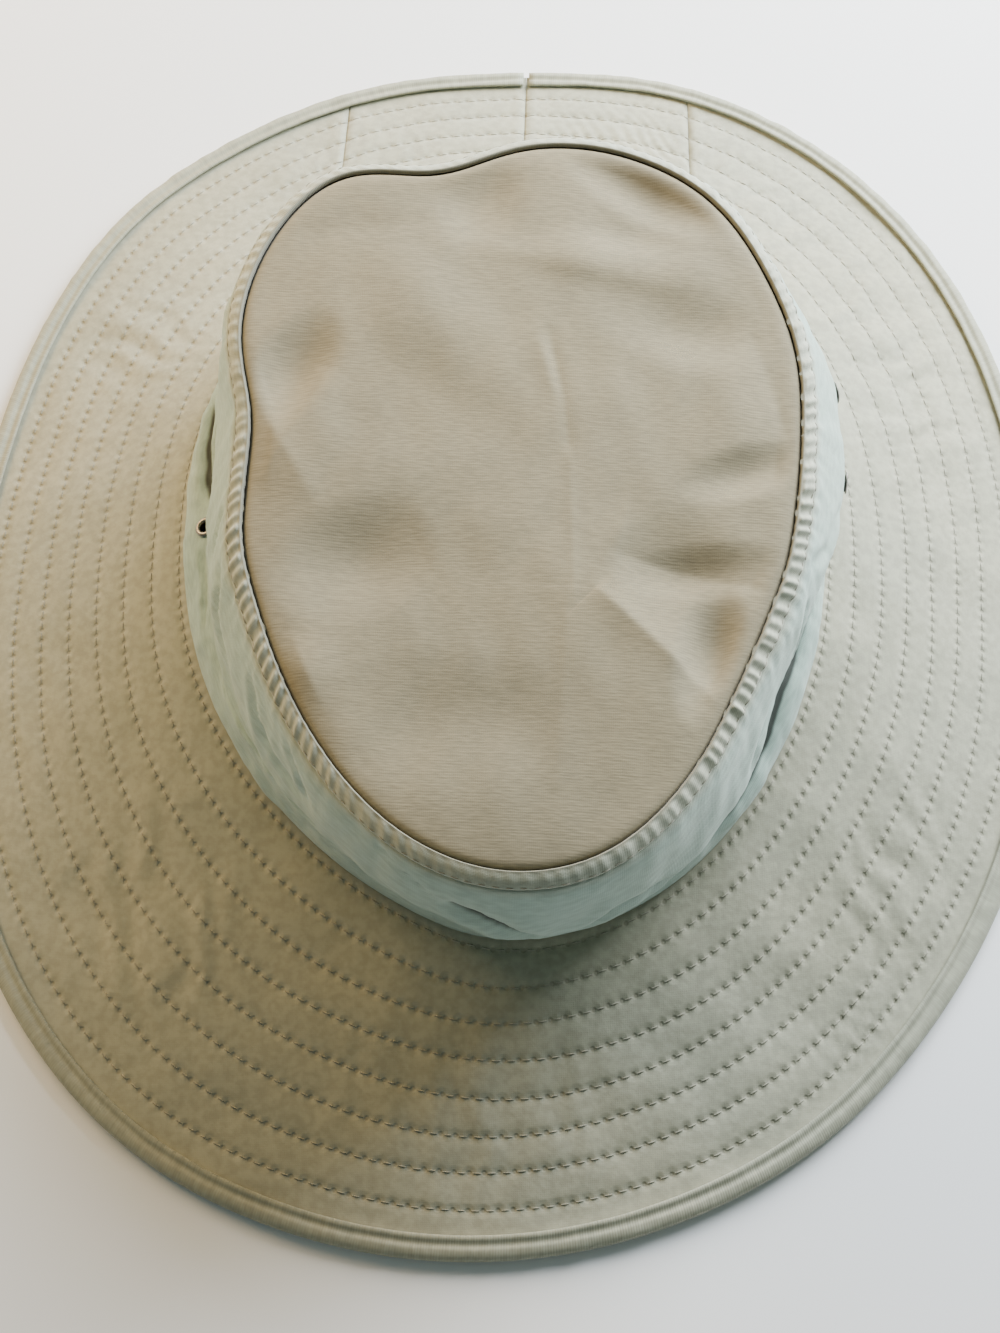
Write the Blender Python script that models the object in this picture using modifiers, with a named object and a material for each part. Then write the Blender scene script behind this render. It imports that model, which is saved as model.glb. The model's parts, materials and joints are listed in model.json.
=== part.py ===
# Wide-brim sun hat of quilted cloth, resting on the edge of its brim.
# Metres, Z up.  The front of the hat faces -Y, its right side as seen from the front lies at +X.
# Angles run round the crown in degrees from the front, positive towards +X.

import math
from collections import namedtuple

import bpy
from mathutils import Matrix, Vector

# Main sizes of the hat
brim_half_width = 0.150
brim_half_length = 0.178
base_half_width = 0.084
base_half_length = 0.103
tip_half_width = 0.066
tip_half_length = 0.092

# Where the tip panel lies over the head opening
tip_height = 0.084
tip_slope = 0.060
tip_centre_x = 0.0015
tip_centre_y = -0.011
tip_dome = 0.0020

# Height of the seam between crown and brim: highest at the sides, lowest at the front
base_height = 0.0294
base_saddle = 0.0061
base_fall_to_front = 0.0022

# Cloth
brim_cloth = 0.0022
crown_cloth = 0.0012
binding_cloth = 0.0010
cloth_gap = 0.0003
foot_gap = 0.0006
facet_room = 0.00015

# Brim
brim_sag = 0.0015
brim_turn_up = 0.0036
brim_turn_radius = 0.0013
brim_turn_corner = 0.3
brim_dent = 0.0015
brim_places = (0.16, 0.33, 0.50, 0.67, 0.84)
binding_width = 0.0062
binding_round = 0.0001
flat_margin = 0.0016
back_seam_left = 0.0525
back_seam_right = 0.0485
binding_end_gap = 0.0016

# Side wall: the strip along its upper edge, the rounded shoulder below it and its folds
strip_width = 0.0042
strip_drop = 0.0012
shoulder_out = 0.0062
shoulder_drop = 0.0058
fold_reach = 0.010
groove_step = 0.0010

# Where the wall's section bends: shares of the rise to the crease, from crease to lip, from lip to shoulder
band_place = 0.45
crease_start = 0.86
crease_start_out = 0.50
lip_start = 0.60
lip_start_out = 0.30
bulge_place = 0.45
wall_steps = (1, 2, 1, 2, 2, 2, 2)

# Tip panel: seam allowance under the strip, and the dents of the panel
allowance_width = 0.0028
allowance_drop = 0.0016
tip_dent = 0.0040
tip_rings = (0.22, 0.42, 0.60, 0.76, 0.89)
tip_dent_fade = 0.10

# Eyelets
eyelet_radius = 0.0028
eyelet_hole_radius = 0.0014
eyelet_barrel_radius = 0.0019
eyelet_flange = 0.0005
eyelet_hole_gap = 0.0003
eyelet_cloth_gap = 0.00045

# Mesh steps round the hat
columns = 64
column_step = 360.0 / columns
front_panel_share = 0.86
back_panel_share = 0.08
binding_arc_steps = 3
eyelet_sides = 12

# Outlines as shares of the named half sizes, a row for each direction
Outline = namedtuple("Outline", "angle edge base tip")
outlines = [
    Outline(-180, 0.980, 1.020, 1.004),
    Outline(-165, 0.988, 1.020, 0.965),
    Outline(-150, 1.000, 1.020, 1.140),
    Outline(-135, 1.017, 1.018, 1.165),
    Outline(-120, 1.002, 1.015, 1.110),
    Outline(-105, 0.985, 1.002, 0.975),
    Outline(-90, 0.988, 0.990, 0.955),
    Outline(-75, 1.006, 0.988, 0.968),
    Outline(-60, 1.030, 0.983, 0.948),
    Outline(-45, 1.047, 0.968, 0.945),
    Outline(-30, 1.045, 0.958, 0.958),
    Outline(-15, 1.020, 0.968, 0.985),
    Outline(0, 1.001, 1.006, 1.010),
    Outline(15, 0.991, 1.008, 1.012),
    Outline(30, 0.991, 1.002, 0.973),
    Outline(45, 0.985, 0.990, 0.934),
    Outline(60, 0.983, 0.981, 0.935),
    Outline(75, 0.979, 0.971, 0.966),
    Outline(90, 0.974, 0.965, 0.987),
    Outline(105, 0.993, 0.970, 1.024),
    Outline(120, 1.015, 0.985, 1.074),
    Outline(135, 1.033, 1.000, 1.090),
    Outline(150, 1.033, 1.012, 1.100),
    Outline(165, 1.015, 1.020, 1.055),
]

# Folds of the slumped side wall, a row for each direction.
# Rises are shares of the wall's rise, outs are shares of fold_reach from the straight wall.
Fold = namedtuple("Fold", "angle band_out crease_rise crease_out lip_rise lip_out bulge_out")
folds = [
    Fold(-180, 0.05, 0.28, 0.00, 0.48, 0.20, 0.25),
    Fold(-150, 0.05, 0.28, -0.10, 0.48, 0.10, 0.20),
    Fold(-130, 0.10, 0.27, -0.25, 0.46, 0.10, 0.15),
    Fold(-115, 0.15, 0.26, -0.60, 0.54, -0.05, 0.05),
    Fold(-103, 0.20, 0.25, -0.80, 0.56, -0.08, 0.03),
    Fold(-92, 0.15, 0.27, -0.85, 0.54, -0.15, 0.03),
    Fold(-80, 0.12, 0.28, -0.50, 0.50, -0.18, 0.03),
    Fold(-68, 0.10, 0.28, -0.30, 0.46, -0.10, 0.10),
    Fold(-52, 0.15, 0.28, 0.05, 0.46, 0.00, 0.12),
    Fold(-35, 0.10, 0.28, 0.05, 0.46, 0.10, 0.15),
    Fold(-20, 0.05, 0.30, -0.05, 0.46, 0.15, 0.20),
    Fold(-8, 0.00, 0.31, -0.45, 0.43, 0.20, 0.25),
    Fold(5, -0.05, 0.31, -0.70, 0.42, 0.40, 0.32),
    Fold(20, -0.05, 0.30, -0.65, 0.40, 0.28, 0.22),
    Fold(38, 0.10, 0.30, -0.58, 0.40, 0.00, 0.10),
    Fold(55, 0.15, 0.30, -0.62, 0.41, -0.22, 0.05),
    Fold(72, 0.15, 0.30, -0.60, 0.43, -0.22, 0.10),
    Fold(86, 0.05, 0.28, -0.30, 0.46, 0.20, 0.40),
    Fold(100, 0.05, 0.26, -0.05, 0.48, 0.50, 0.55),
    Fold(118, 0.05, 0.26, 0.05, 0.48, 0.52, 0.58),
    Fold(135, 0.05, 0.27, 0.00, 0.48, 0.30, 0.35),
    Fold(158, 0.05, 0.28, 0.00, 0.48, 0.20, 0.25),
]

# Soft dents of the tip panel: place and radius as shares of its half sizes, depth of tip_dent
TipDent = namedtuple("TipDent", "x y radius_x radius_y depth")
tip_dents = [
    TipDent(-0.20, 0.86, 0.20, 0.16, 1.00),
    TipDent(0.42, 0.74, 0.26, 0.16, 0.55),
    TipDent(0.58, -0.24, 0.20, 0.22, 0.70),
    TipDent(0.12, 0.34, 0.12, 0.10, 0.30),
    TipDent(-0.72, 0.18, 0.16, 0.26, -0.35),
    TipDent(0.80, 0.22, 0.14, 0.40, -0.25),
    TipDent(-0.30, -0.30, 0.34, 0.40, 0.25),
]

# Margin of the tip panel: out from the seam in steps of the groove, drop as a share of allowance_drop
TipMargin = namedtuple("TipMargin", "out drop")
tip_margin = [
    TipMargin(-1.5, 0.0),
    TipMargin(-0.3, 0.28),
    TipMargin(0.45, 0.78),
    TipMargin(1.4, 1.0),
]

# Soft dents of the brim: direction, place from crown to edge, widths in degrees and share, depth
BrimDent = namedtuple("BrimDent", "angle place angle_width place_width depth")
brim_dents = [
    BrimDent(-112, 0.55, 14, 0.30, 0.60),
    BrimDent(-48, 0.62, 12, 0.30, 0.80),
    BrimDent(-34, 0.60, 9, 0.30, -0.60),
    BrimDent(38, 0.72, 10, 0.22, 0.80),
    BrimDent(62, 0.55, 16, 0.34, -0.60),
    BrimDent(128, 0.50, 12, 0.30, 0.70),
]

# Eyelets: direction, and the row of the wall's mesh that each one sits on
Eyelet = namedtuple("Eyelet", "name angle row")
eyelets = [
    Eyelet("eyelet_left_front", -87.0, 3),
    Eyelet("eyelet_left_rear", -102.5, 5),
    Eyelet("eyelet_right_front", 98.5, 9),
    Eyelet("eyelet_right_rear", 112.5, 9),
]


# Helpers for tables and directions

def round_value(rows, column, angle):
    """Smooth periodic curve through one column of a table of directions."""
    count = len(rows)
    angle = (angle + 180.0) % 360.0 - 180.0
    index = max(i for i in range(count) if rows[i].angle <= angle + 1e-9)

    def knot(i):
        turn, place = divmod(i, count)
        return rows[place].angle + 360.0 * turn, getattr(rows[place], column)

    (a0, v0), (a1, v1), (a2, v2), (a3, v3) = [knot(index + i) for i in (-1, 0, 1, 2)]
    span = a2 - a1
    start_slope = (v2 - v0) / (a2 - a0) * span
    end_slope = (v3 - v1) / (a3 - a1) * span
    t = (angle - a1) / span
    return (v1 * (2 * t**3 - 3 * t**2 + 1) + start_slope * (t**3 - 2 * t**2 + t)
            + v2 * (3 * t**2 - 2 * t**3) + end_slope * (t**3 - t**2))


def direction(angle):
    """Unit vector in plan; angle 0 faces the front."""
    turn = math.radians(angle)
    return Vector((math.sin(turn), -math.cos(turn), 0.0))


def oval_radius(angle, half_width, half_length, column):
    """Radius of an oval times the share that the outline table gives."""
    way = direction(angle)
    plain = 1.0 / math.hypot(way.x / half_width, way.y / half_length)
    return plain * round_value(outlines, column, angle)


def smooth_bump(distance):
    """1 at the middle of a dent, 0 from its rim outwards."""
    if distance >= 1.0:
        return 0.0
    return (1.0 - distance * distance) ** 2


def mix(a, b, share):
    return a + (b - a) * share


# Places that the pieces share

def base_rise(angle):
    """Height of the brim's upper face at the foot of the crown."""
    turn = math.radians(angle)
    return base_height - base_saddle * math.cos(2 * turn) - base_fall_to_front * math.cos(turn)


def base_radius(angle):
    """Outer face of the side wall at its foot."""
    return oval_radius(angle, base_half_width, base_half_length, "base")


def edge_radius(angle):
    """Outer face of the binding."""
    return oval_radius(angle, brim_half_width, brim_half_length, "edge")


def tip_rim(angle):
    """Middle of the seam groove between tip panel and side wall."""
    radius = oval_radius(angle, tip_half_width, tip_half_length, "tip")
    place = Vector((tip_centre_x, tip_centre_y, 0.0)) + direction(angle) * radius
    place.z = tip_height + tip_slope * place.y
    return place


brim_edge_middle = binding_cloth + cloth_gap + brim_cloth / 2
turn_up_inset = crown_cloth / 2 + cloth_gap + facet_room + brim_cloth / 2


# Scene, collections and materials

def clear_scene():
    for old in list(bpy.data.objects):
        bpy.data.objects.remove(old, do_unlink=True)


def make_collection(name):
    collection = bpy.data.collections.new(name)
    bpy.context.scene.collection.children.link(collection)
    return collection


def make_material(name, colour, roughness, metallic=0.0):
    material = bpy.data.materials.new(name)
    material.use_nodes = True
    shader = material.node_tree.nodes["Principled BSDF"]
    shader.inputs["Base Color"].default_value = (*colour, 1.0)
    shader.inputs["Roughness"].default_value = roughness
    shader.inputs["Metallic"].default_value = metallic
    return material


def add_object(name, mesh, material, collection):
    piece = bpy.data.objects.new(name, mesh)
    collection.objects.link(piece)
    mesh.materials.append(material)
    return piece


def sheet_mesh(name, rows, closed):
    """Mesh through rows of points; closed joins the last column to the first."""
    width = len(rows[0])
    points = [point for row in rows for point in row]
    spans = width if closed else width - 1
    faces = []
    for i in range(len(rows) - 1):
        for j in range(spans):
            k = (j + 1) % width
            faces.append((i * width + j, i * width + k, (i + 1) * width + k, (i + 1) * width + j))
    mesh = bpy.data.meshes.new(name)
    mesh.from_pydata([tuple(point) for point in points], [], faces)
    mesh.update()
    for face in mesh.polygons:
        face.use_smooth = True
    return mesh


def thicken(piece, cloth):
    """Give a sheet the thickness of its cloth, half to each side."""
    shell = piece.modifiers.new("cloth", "SOLIDIFY")
    shell.thickness = cloth
    shell.offset = 0.0
    shell.use_even_offset = True
    shell.use_quality_normals = True


# Brim panels

def brim_profile(angle):
    """Middle of the brim cloth from the turned-up border out to the edge, as (radius, height)."""
    foot, band = wall_section(angle)[:2]
    rise = band.z - foot.z
    lean = (band.xy.length - foot.xy.length) / rise
    inner = foot.xy.length - turn_up_inset * math.hypot(1.0, lean)
    top = base_rise(angle) - brim_cloth / 2
    edge = edge_radius(angle) - binding_cloth - cloth_gap - brim_cloth / 2 - binding_round
    flat = edge_radius(angle) - binding_width - flat_margin
    bend = top + brim_turn_radius
    border = bend + brim_turn_up
    start = inner + brim_turn_radius
    profile = [
        (inner + lean * (border - foot.z), border),
        (inner + lean * (bend - foot.z), bend),
        (inner + brim_turn_corner * brim_turn_radius, top + brim_turn_corner * brim_turn_radius),
        (start, top),
    ]
    for place in brim_places:
        height = mix(top, brim_edge_middle, place) - brim_sag * 4 * place * (1 - place)
        for dent in brim_dents:
            across = (angle - dent.angle) / dent.angle_width
            along = (place - dent.place) / dent.place_width
            height -= brim_dent * dent.depth * smooth_bump(math.hypot(across, along))
        profile.append((mix(start, flat, place), height))
    profile.append((flat, brim_edge_middle))
    profile.append((edge, brim_edge_middle))
    return profile


def seam_angle(radius, half_width):
    """Direction at which a panel seam, straight from front to back, meets a radius."""
    return 180.0 - math.degrees(math.asin(half_width / radius))


def brim_panel(name, start_seam, end_seam, steps, material, collection):
    """One brim panel between two seams; a seam is (side, distance from the centre line)."""
    rows = []
    count = len(brim_profile(0.0))
    for i in range(count):
        limits = []
        for (side, half_width), inward in ((start_seam, 1.0), (end_seam, -1.0)):
            angle = side * 180.0
            for _ in range(4):
                radius = brim_profile(angle)[i][0]
                angle = side * seam_angle(radius, half_width)
            limits.append(angle + inward * math.degrees(cloth_gap / 2 / radius))
        row = []
        for j in range(steps + 1):
            angle = mix(limits[0], limits[1], j / steps)
            radius, height = brim_profile(angle)[i]
            point = direction(angle) * radius
            point.z = height
            row.append(point)
        rows.append(row)
    piece = add_object(name, sheet_mesh(name, rows, False), material, collection)
    thicken(piece, brim_cloth)
    return piece


# Binding

def make_binding(material, collection):
    """Tape folded over the brim's edge; its flat under side rests on the ground."""
    reach = brim_cloth / 2 + cloth_gap + binding_cloth / 2
    rows = []
    for i in range(binding_arc_steps + 3):
        row = []
        half_gap = math.degrees(binding_end_gap / 2 / edge_radius(180.0))
        for j in range(columns + 1):
            angle = mix(-180.0 + half_gap, 180.0 - half_gap, j / columns)
            outer = edge_radius(angle)
            centre = outer - binding_cloth / 2 - reach
            if i == 0:
                radius, height = outer - binding_width, brim_edge_middle + reach
            elif i == binding_arc_steps + 2:
                radius, height = outer - binding_width, brim_edge_middle - reach
            else:
                turn = math.pi / 2 - math.pi * (i - 1) / binding_arc_steps
                radius = centre + reach * math.cos(turn)
                height = brim_edge_middle + reach * math.sin(turn)
            point = direction(angle) * radius
            point.z = height
            row.append(point)
        rows.append(row)
    piece = add_object("brim_binding", sheet_mesh("brim_binding", rows, False), material, collection)
    thicken(piece, binding_cloth)
    return piece


# Side wall

def wall_section(angle):
    """Middle of the wall cloth from its foot up to the seam groove, as points in space."""
    way = direction(angle)
    foot = way * (base_radius(angle) - crown_cloth / 2)
    foot.z = base_rise(angle) + foot_gap
    rim = tip_rim(angle)
    shoulder = rim + way * shoulder_out
    shoulder.z = rim.z - shoulder_drop
    value = {column: round_value(folds, column, angle) for column in Fold._fields[1:]}

    def place(rise, out):
        point = foot.lerp(shoulder, rise)
        return point + way * (fold_reach * out)

    crease = value["crease_rise"]
    lip = value["lip_rise"]
    controls = [
        place(0.0, 0.0),
        place(band_place * crease, value["band_out"]),
        place(crease_start * crease, mix(value["crease_out"], value["band_out"], crease_start_out)),
        place(crease, value["crease_out"]),
        place(mix(crease, lip, lip_start), mix(value["crease_out"], value["lip_out"], lip_start_out)),
        place(lip, value["lip_out"]),
        place(mix(lip, 1.0, bulge_place), value["bulge_out"]),
        place(1.0, 0.0),
    ]
    strip = rim + way * strip_width
    strip.z = rim.z - strip_drop
    groove = rim + way * (groove_step + crown_cloth / 2 - cloth_gap)
    return smooth_points(controls, wall_steps) + [strip, groove]


def smooth_points(controls, steps):
    """Points along a smooth curve through the controls, with a number of steps for each span."""
    last = len(controls) - 1
    points = [controls[0]]
    for i in range(last):
        before = controls[max(i - 1, 0)]
        after = controls[min(i + 2, last)]
        start_slope = (controls[i + 1] - before) / 2
        end_slope = (after - controls[i]) / 2
        for k in range(1, steps[i] + 1):
            t = k / steps[i]
            points.append(controls[i] * (2 * t**3 - 3 * t**2 + 1) + start_slope * (t**3 - 2 * t**2 + t)
                          + controls[i + 1] * (3 * t**2 - 2 * t**3) + end_slope * (t**3 - t**2))
    return points


def make_side_wall(material, collection):
    sections = [wall_section(j * column_step - 180.0) for j in range(columns)]
    rows = [[section[i] for section in sections] for i in range(len(sections[0]))]
    piece = add_object("crown_side", sheet_mesh("crown_side", rows, True), material, collection)
    thicken(piece, crown_cloth)
    return piece


# Tip panel

def tip_surface(across, along):
    """Height of the panel over its rim, from its dome and dents; places are shares of its half sizes."""
    reach = math.hypot(across, along)
    height = tip_dome * max(0.0, 1.0 - reach * reach)
    for dent in tip_dents:
        distance = math.hypot((across - dent.x) / dent.radius_x, (along - dent.y) / dent.radius_y)
        height -= tip_dent * dent.depth * smooth_bump(distance)
    return height


def make_tip(material, collection):
    """Egg-shaped panel; its margin dips into the groove and runs on under the strip."""
    centre = Vector((tip_centre_x, tip_centre_y, 0.0))
    rows = []
    for share in tip_rings:
        row = []
        for j in range(columns):
            angle = j * column_step - 180.0
            rim = tip_rim(angle)
            point = centre.lerp(Vector((rim.x, rim.y, 0.0)), share)
            across = (point.x - tip_centre_x) / tip_half_width
            along = (point.y - tip_centre_y) / tip_half_length
            fade = min(1.0, (1.0 - share) / tip_dent_fade)
            point.z = tip_height + tip_slope * point.y + tip_surface(across, along) * fade
            row.append(point)
        rows.append(row)
    for out, drop in tip_margin:
        row = []
        for j in range(columns):
            angle = j * column_step - 180.0
            rim = tip_rim(angle)
            point = rim + direction(angle) * (out * groove_step)
            point.z = rim.z - drop * allowance_drop
            row.append(point)
        rows.append(row)
    last_row = []
    for j in range(columns):
        angle = j * column_step - 180.0
        rim = tip_rim(angle)
        point = rim + direction(angle) * allowance_width
        point.z = rim.z - allowance_drop - strip_drop * allowance_width / strip_width
        last_row.append(point)
    rows.append(last_row)
    mesh = sheet_mesh("crown_tip", rows, True)
    piece = add_object("crown_tip", fill_middle(mesh, tip_surface(0.0, 0.0)), material, collection)
    thicken(piece, crown_cloth)
    return piece


def fill_middle(mesh, height):
    """Close the first row of a round sheet with a fan of triangles to the tip's centre."""
    points = [vertex.co.copy() for vertex in mesh.vertices]
    faces = [tuple(face.vertices) for face in mesh.polygons]
    points.append(Vector((tip_centre_x, tip_centre_y, tip_height + tip_slope * tip_centre_y + height)))
    middle = len(points) - 1
    for j in range(columns):
        faces.append(((j + 1) % columns, j, middle))
    mesh.clear_geometry()
    mesh.from_pydata([tuple(point) for point in points], [], faces)
    mesh.update()
    for face in mesh.polygons:
        face.use_smooth = True
    return mesh


# Eyelets

def wall_frame(angle, row):
    """Matrix in the middle of two facets of the wall, its Z axis pointing out of the cloth."""
    column = math.floor((angle + 180.0) / column_step)
    left = wall_section(column * column_step - 180.0)
    right = wall_section((column + 1) * column_step - 180.0)
    corners = [left[row - 1], right[row - 1], right[row + 1], left[row + 1]]
    middle = (left[row] + right[row]) / 2
    along = (corners[1] + corners[2] - corners[0] - corners[3]).normalized()
    up = (corners[3] + corners[2] - corners[0] - corners[1]).normalized()
    normal = along.cross(up).normalized()
    up = normal.cross(along).normalized()
    frame = Matrix((along, up, normal)).transposed().to_4x4()
    frame.translation = middle
    return frame


def make_eyelet(eyelet, wall, material, collection, cutters):
    """Turned metal eyelet through the wall, and the hole that it passes through."""
    frame = wall_frame(eyelet.angle, eyelet.row)
    reach = crown_cloth / 2 + eyelet_cloth_gap
    outer = reach + eyelet_flange
    profile = [
        (eyelet_hole_radius, outer),
        (eyelet_radius - eyelet_flange, outer),
        (eyelet_radius, reach),
        (eyelet_barrel_radius, reach),
        (eyelet_barrel_radius, -reach),
        (eyelet_radius, -reach),
        (eyelet_radius - eyelet_flange, -outer),
        (eyelet_hole_radius, -outer),
    ]
    count = len(profile)
    mesh = bpy.data.meshes.new(eyelet.name)
    edges = [(i, (i + 1) % count) for i in range(count)]
    mesh.from_pydata([(radius, 0.0, height) for radius, height in profile], edges, [])
    piece = add_object(eyelet.name, mesh, material, collection)
    piece.matrix_world = frame
    turn = piece.modifiers.new("turned ring", "SCREW")
    turn.axis = "Z"
    turn.angle = math.tau
    turn.steps = eyelet_sides
    turn.render_steps = eyelet_sides
    turn.use_merge_vertices = True
    turn.merge_threshold = 0.00001
    turn.use_smooth_shade = True

    bpy.ops.mesh.primitive_cylinder_add(
        vertices=eyelet_sides, radius=eyelet_barrel_radius + eyelet_hole_gap, depth=outer * 4)
    cutter = bpy.context.object
    cutter.name = eyelet.name + "_hole"
    cutter.matrix_world = frame
    for old in list(cutter.users_collection):
        old.objects.unlink(cutter)
    cutters.objects.link(cutter)
    cutter.display_type = "WIRE"
    cutter.hide_render = True
    cut = wall.modifiers.new(eyelet.name + " hole", "BOOLEAN")
    cut.operation = "DIFFERENCE"
    cut.solver = "EXACT"
    cut.object = cutter
    return piece


def centre_on_brim(pieces):
    """Move the pieces so that the origin lies under the middle of the brim's outline."""
    outline = [direction(j * column_step) * edge_radius(j * column_step) for j in range(columns)]
    across = [point.x for point in outline]
    along = [point.y for point in outline]
    middle = Vector((min(across) + max(across), min(along) + max(along), 0.0)) / 2
    for piece in pieces:
        piece.location -= middle
    print("origin moved by", tuple(round(value, 4) for value in middle))


def main():
    clear_scene()
    hat = make_collection("wide_brim_sun_hat")
    cutters = make_collection("cutters")

    brim_material = make_material("quilted brim cloth", (0.42, 0.40, 0.30), 0.85)
    tip_material = make_material("ribbed tip cloth", (0.46, 0.41, 0.28), 0.88)
    side_material = make_material("plain side cloth", (0.42, 0.45, 0.38), 0.85)
    binding_material = make_material("binding tape", (0.28, 0.26, 0.19), 0.80)
    metal_material = make_material("nickel eyelet", (0.50, 0.48, 0.44), 0.35, 1.0)

    left_seam = (-1, back_seam_left)
    right_seam = (1, back_seam_right)
    front_steps = round(columns * front_panel_share)
    back_steps = round(columns * back_panel_share)
    brim_panel("brim_front", left_seam, right_seam, front_steps, brim_material, hat)
    brim_panel("brim_back_left", (-1, 0.0), left_seam, back_steps, brim_material, hat)
    brim_panel("brim_back_right", right_seam, (1, 0.0), back_steps, brim_material, hat)
    make_binding(binding_material, hat)
    wall = make_side_wall(side_material, hat)
    make_tip(tip_material, hat)
    for eyelet in eyelets:
        make_eyelet(eyelet, wall, metal_material, hat, cutters)
    centre_on_brim(list(hat.objects) + list(cutters.objects))


main()
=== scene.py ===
# %% [markdown]
# # A wide-brim sun hat, finished from its plain solids
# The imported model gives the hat's real form: tip panel, side wall, three brim panels, edge
# binding and four eyelets.  Here each soft solid gets a finer sheet of the same form, with its
# quilting, puckers, folds, thread and weave.

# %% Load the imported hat
import json
import math
from collections import namedtuple

import bpy
import numpy as np
from mathutils import Matrix, Vector
from mathutils.bvhtree import BVHTree

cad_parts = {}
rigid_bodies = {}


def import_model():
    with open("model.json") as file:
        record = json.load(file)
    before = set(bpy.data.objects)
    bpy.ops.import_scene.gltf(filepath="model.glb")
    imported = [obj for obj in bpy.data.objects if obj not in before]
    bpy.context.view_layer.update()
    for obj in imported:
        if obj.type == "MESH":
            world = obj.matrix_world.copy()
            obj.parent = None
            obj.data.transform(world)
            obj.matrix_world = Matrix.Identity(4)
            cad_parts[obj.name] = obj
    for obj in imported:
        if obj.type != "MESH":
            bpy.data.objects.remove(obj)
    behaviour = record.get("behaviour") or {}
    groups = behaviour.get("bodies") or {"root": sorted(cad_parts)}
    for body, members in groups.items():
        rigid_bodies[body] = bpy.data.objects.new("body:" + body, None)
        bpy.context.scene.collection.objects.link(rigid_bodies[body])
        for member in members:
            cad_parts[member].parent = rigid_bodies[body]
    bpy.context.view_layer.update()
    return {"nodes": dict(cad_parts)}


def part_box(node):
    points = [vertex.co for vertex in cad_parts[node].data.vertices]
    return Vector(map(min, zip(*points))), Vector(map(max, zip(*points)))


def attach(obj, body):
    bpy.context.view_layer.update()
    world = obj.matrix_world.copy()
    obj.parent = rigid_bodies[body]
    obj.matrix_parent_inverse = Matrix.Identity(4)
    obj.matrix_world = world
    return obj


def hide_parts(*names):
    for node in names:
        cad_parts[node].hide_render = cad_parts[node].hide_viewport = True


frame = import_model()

print("nodes:", ", ".join(sorted(frame["nodes"])))

# %% [markdown]
# ## Camera
# The hat is seen from above and a little from its front.  The camera stands about 0.6 m from the
# tip, as a phone held over a table would, which is why the front of the brim looks larger.

# %% Camera
camera_data = bpy.data.cameras.new("camera")
camera_data.sensor_width = 36.0
camera_data.lens = 61.36
camera_data.clip_start = 0.01
camera = bpy.data.objects.new("camera", camera_data)
bpy.context.scene.collection.objects.link(camera)
camera_place = Vector((0.0001, -0.2675, 0.555))
camera_tilt = Matrix.Rotation(math.radians(24.1), 4, "X")
camera_roll = Matrix.Rotation(math.radians(2.25), 4, "Z")
camera.matrix_world = Matrix.Translation(camera_place) @ (camera_tilt @ camera_roll)
bpy.context.scene.camera = camera
print("camera:", round(camera_place.length * 1000), "mm from the hat's middle")

# %% [markdown]
# ## Floor and light
# A pale floor and large soft lamps.  Cool window light comes from the hat's right and back, a
# weaker warm light from its left, so the front of the brim lies in the half shade.

# %% Floor
bpy.ops.object.select_all(action="DESELECT")
bpy.ops.mesh.primitive_plane_add(size=6.0, location=(0.0, 0.0, 0.0))
floor = bpy.context.object
floor.name = "floor"
floor_paint = bpy.data.materials.new("pale floor")
floor_paint.use_nodes = True
floor_shader = floor_paint.node_tree.nodes["Principled BSDF"]
floor_shader.inputs["Base Color"].default_value = (0.90, 0.90, 0.90, 1.0)
floor_shader.inputs["Roughness"].default_value = 0.9
floor.data.materials.append(floor_paint)

# %% [markdown]
# ## Lamps
# A window is a broad light, so its shadows have soft edges.  A square area lamp gives the same
# edge, where a point lamp would draw it hard.  Three lamps and a dim room are enough.


# %% Lamps
def soft_lamp(name, place, size, watts, colour):
    """A square lamp at a place, turned to the middle of the hat."""
    lamp_data = bpy.data.lights.new(name, "AREA")
    lamp_data.size = size
    lamp_data.energy = watts
    lamp_data.color = colour
    lamp = bpy.data.objects.new(name, lamp_data)
    lamp.location = place
    way = Vector((0.0, 0.0, 0.03)) - Vector(place)
    lamp.rotation_euler = way.to_track_quat("-Z", "Y").to_euler()
    bpy.context.scene.collection.objects.link(lamp)


soft_lamp("window", (0.38, 0.50, 0.35), 0.55, 25.5, (0.89, 0.95, 1.0))
soft_lamp("room", (-0.46, 0.30, 0.33), 0.40, 5.0, (1.0, 0.70, 0.34))
soft_lamp("above", (0.0, 1.0, 1.1), 1.0, 3.0, (1.0, 0.98, 0.94))
world = bpy.data.worlds.new("room light")
world.use_nodes = True
world.node_tree.nodes["Background"].inputs["Color"].default_value = (0.80, 1.0, 0.97, 1.0)
world.node_tree.nodes["Background"].inputs["Strength"].default_value = 0.185
bpy.context.scene.world = world
print("lamps: window, room and above")

# %% [markdown]
# ## Working with a solid of the frame
# Each soft solid is a thin shell: an outer face, an inner face and the cut edges between them.
# A copy is merged, its cut edges and inner face are taken off, and what is left is one open sheet
# of quads.  Subdivision smooths it, code moves its points, and Solidify gives the cloth back its
# thickness.  This keeps the real form, which a new shape drawn by eye wouldn't.


# %% Helpers for meshes
def activate(piece):
    """Select one piece alone and make it the one that operators act on."""
    bpy.ops.object.select_all(action="DESELECT")
    piece.select_set(True)
    bpy.context.view_layer.objects.active = piece


def read(items, name, width, kind=float):
    """One value of every point, edge, face or corner of a mesh, a row for each."""
    values = np.empty(len(items) * width, kind)
    items.foreach_get(name, values)
    return values.reshape(-1, width)


def points_of(piece):
    return read(piece.data.vertices, "co", 3)


def normals_of(piece):
    return read(piece.data.vertices, "normal", 3)


def edges_of(piece):
    return read(piece.data.edges, "vertices", 2, np.int32)


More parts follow.
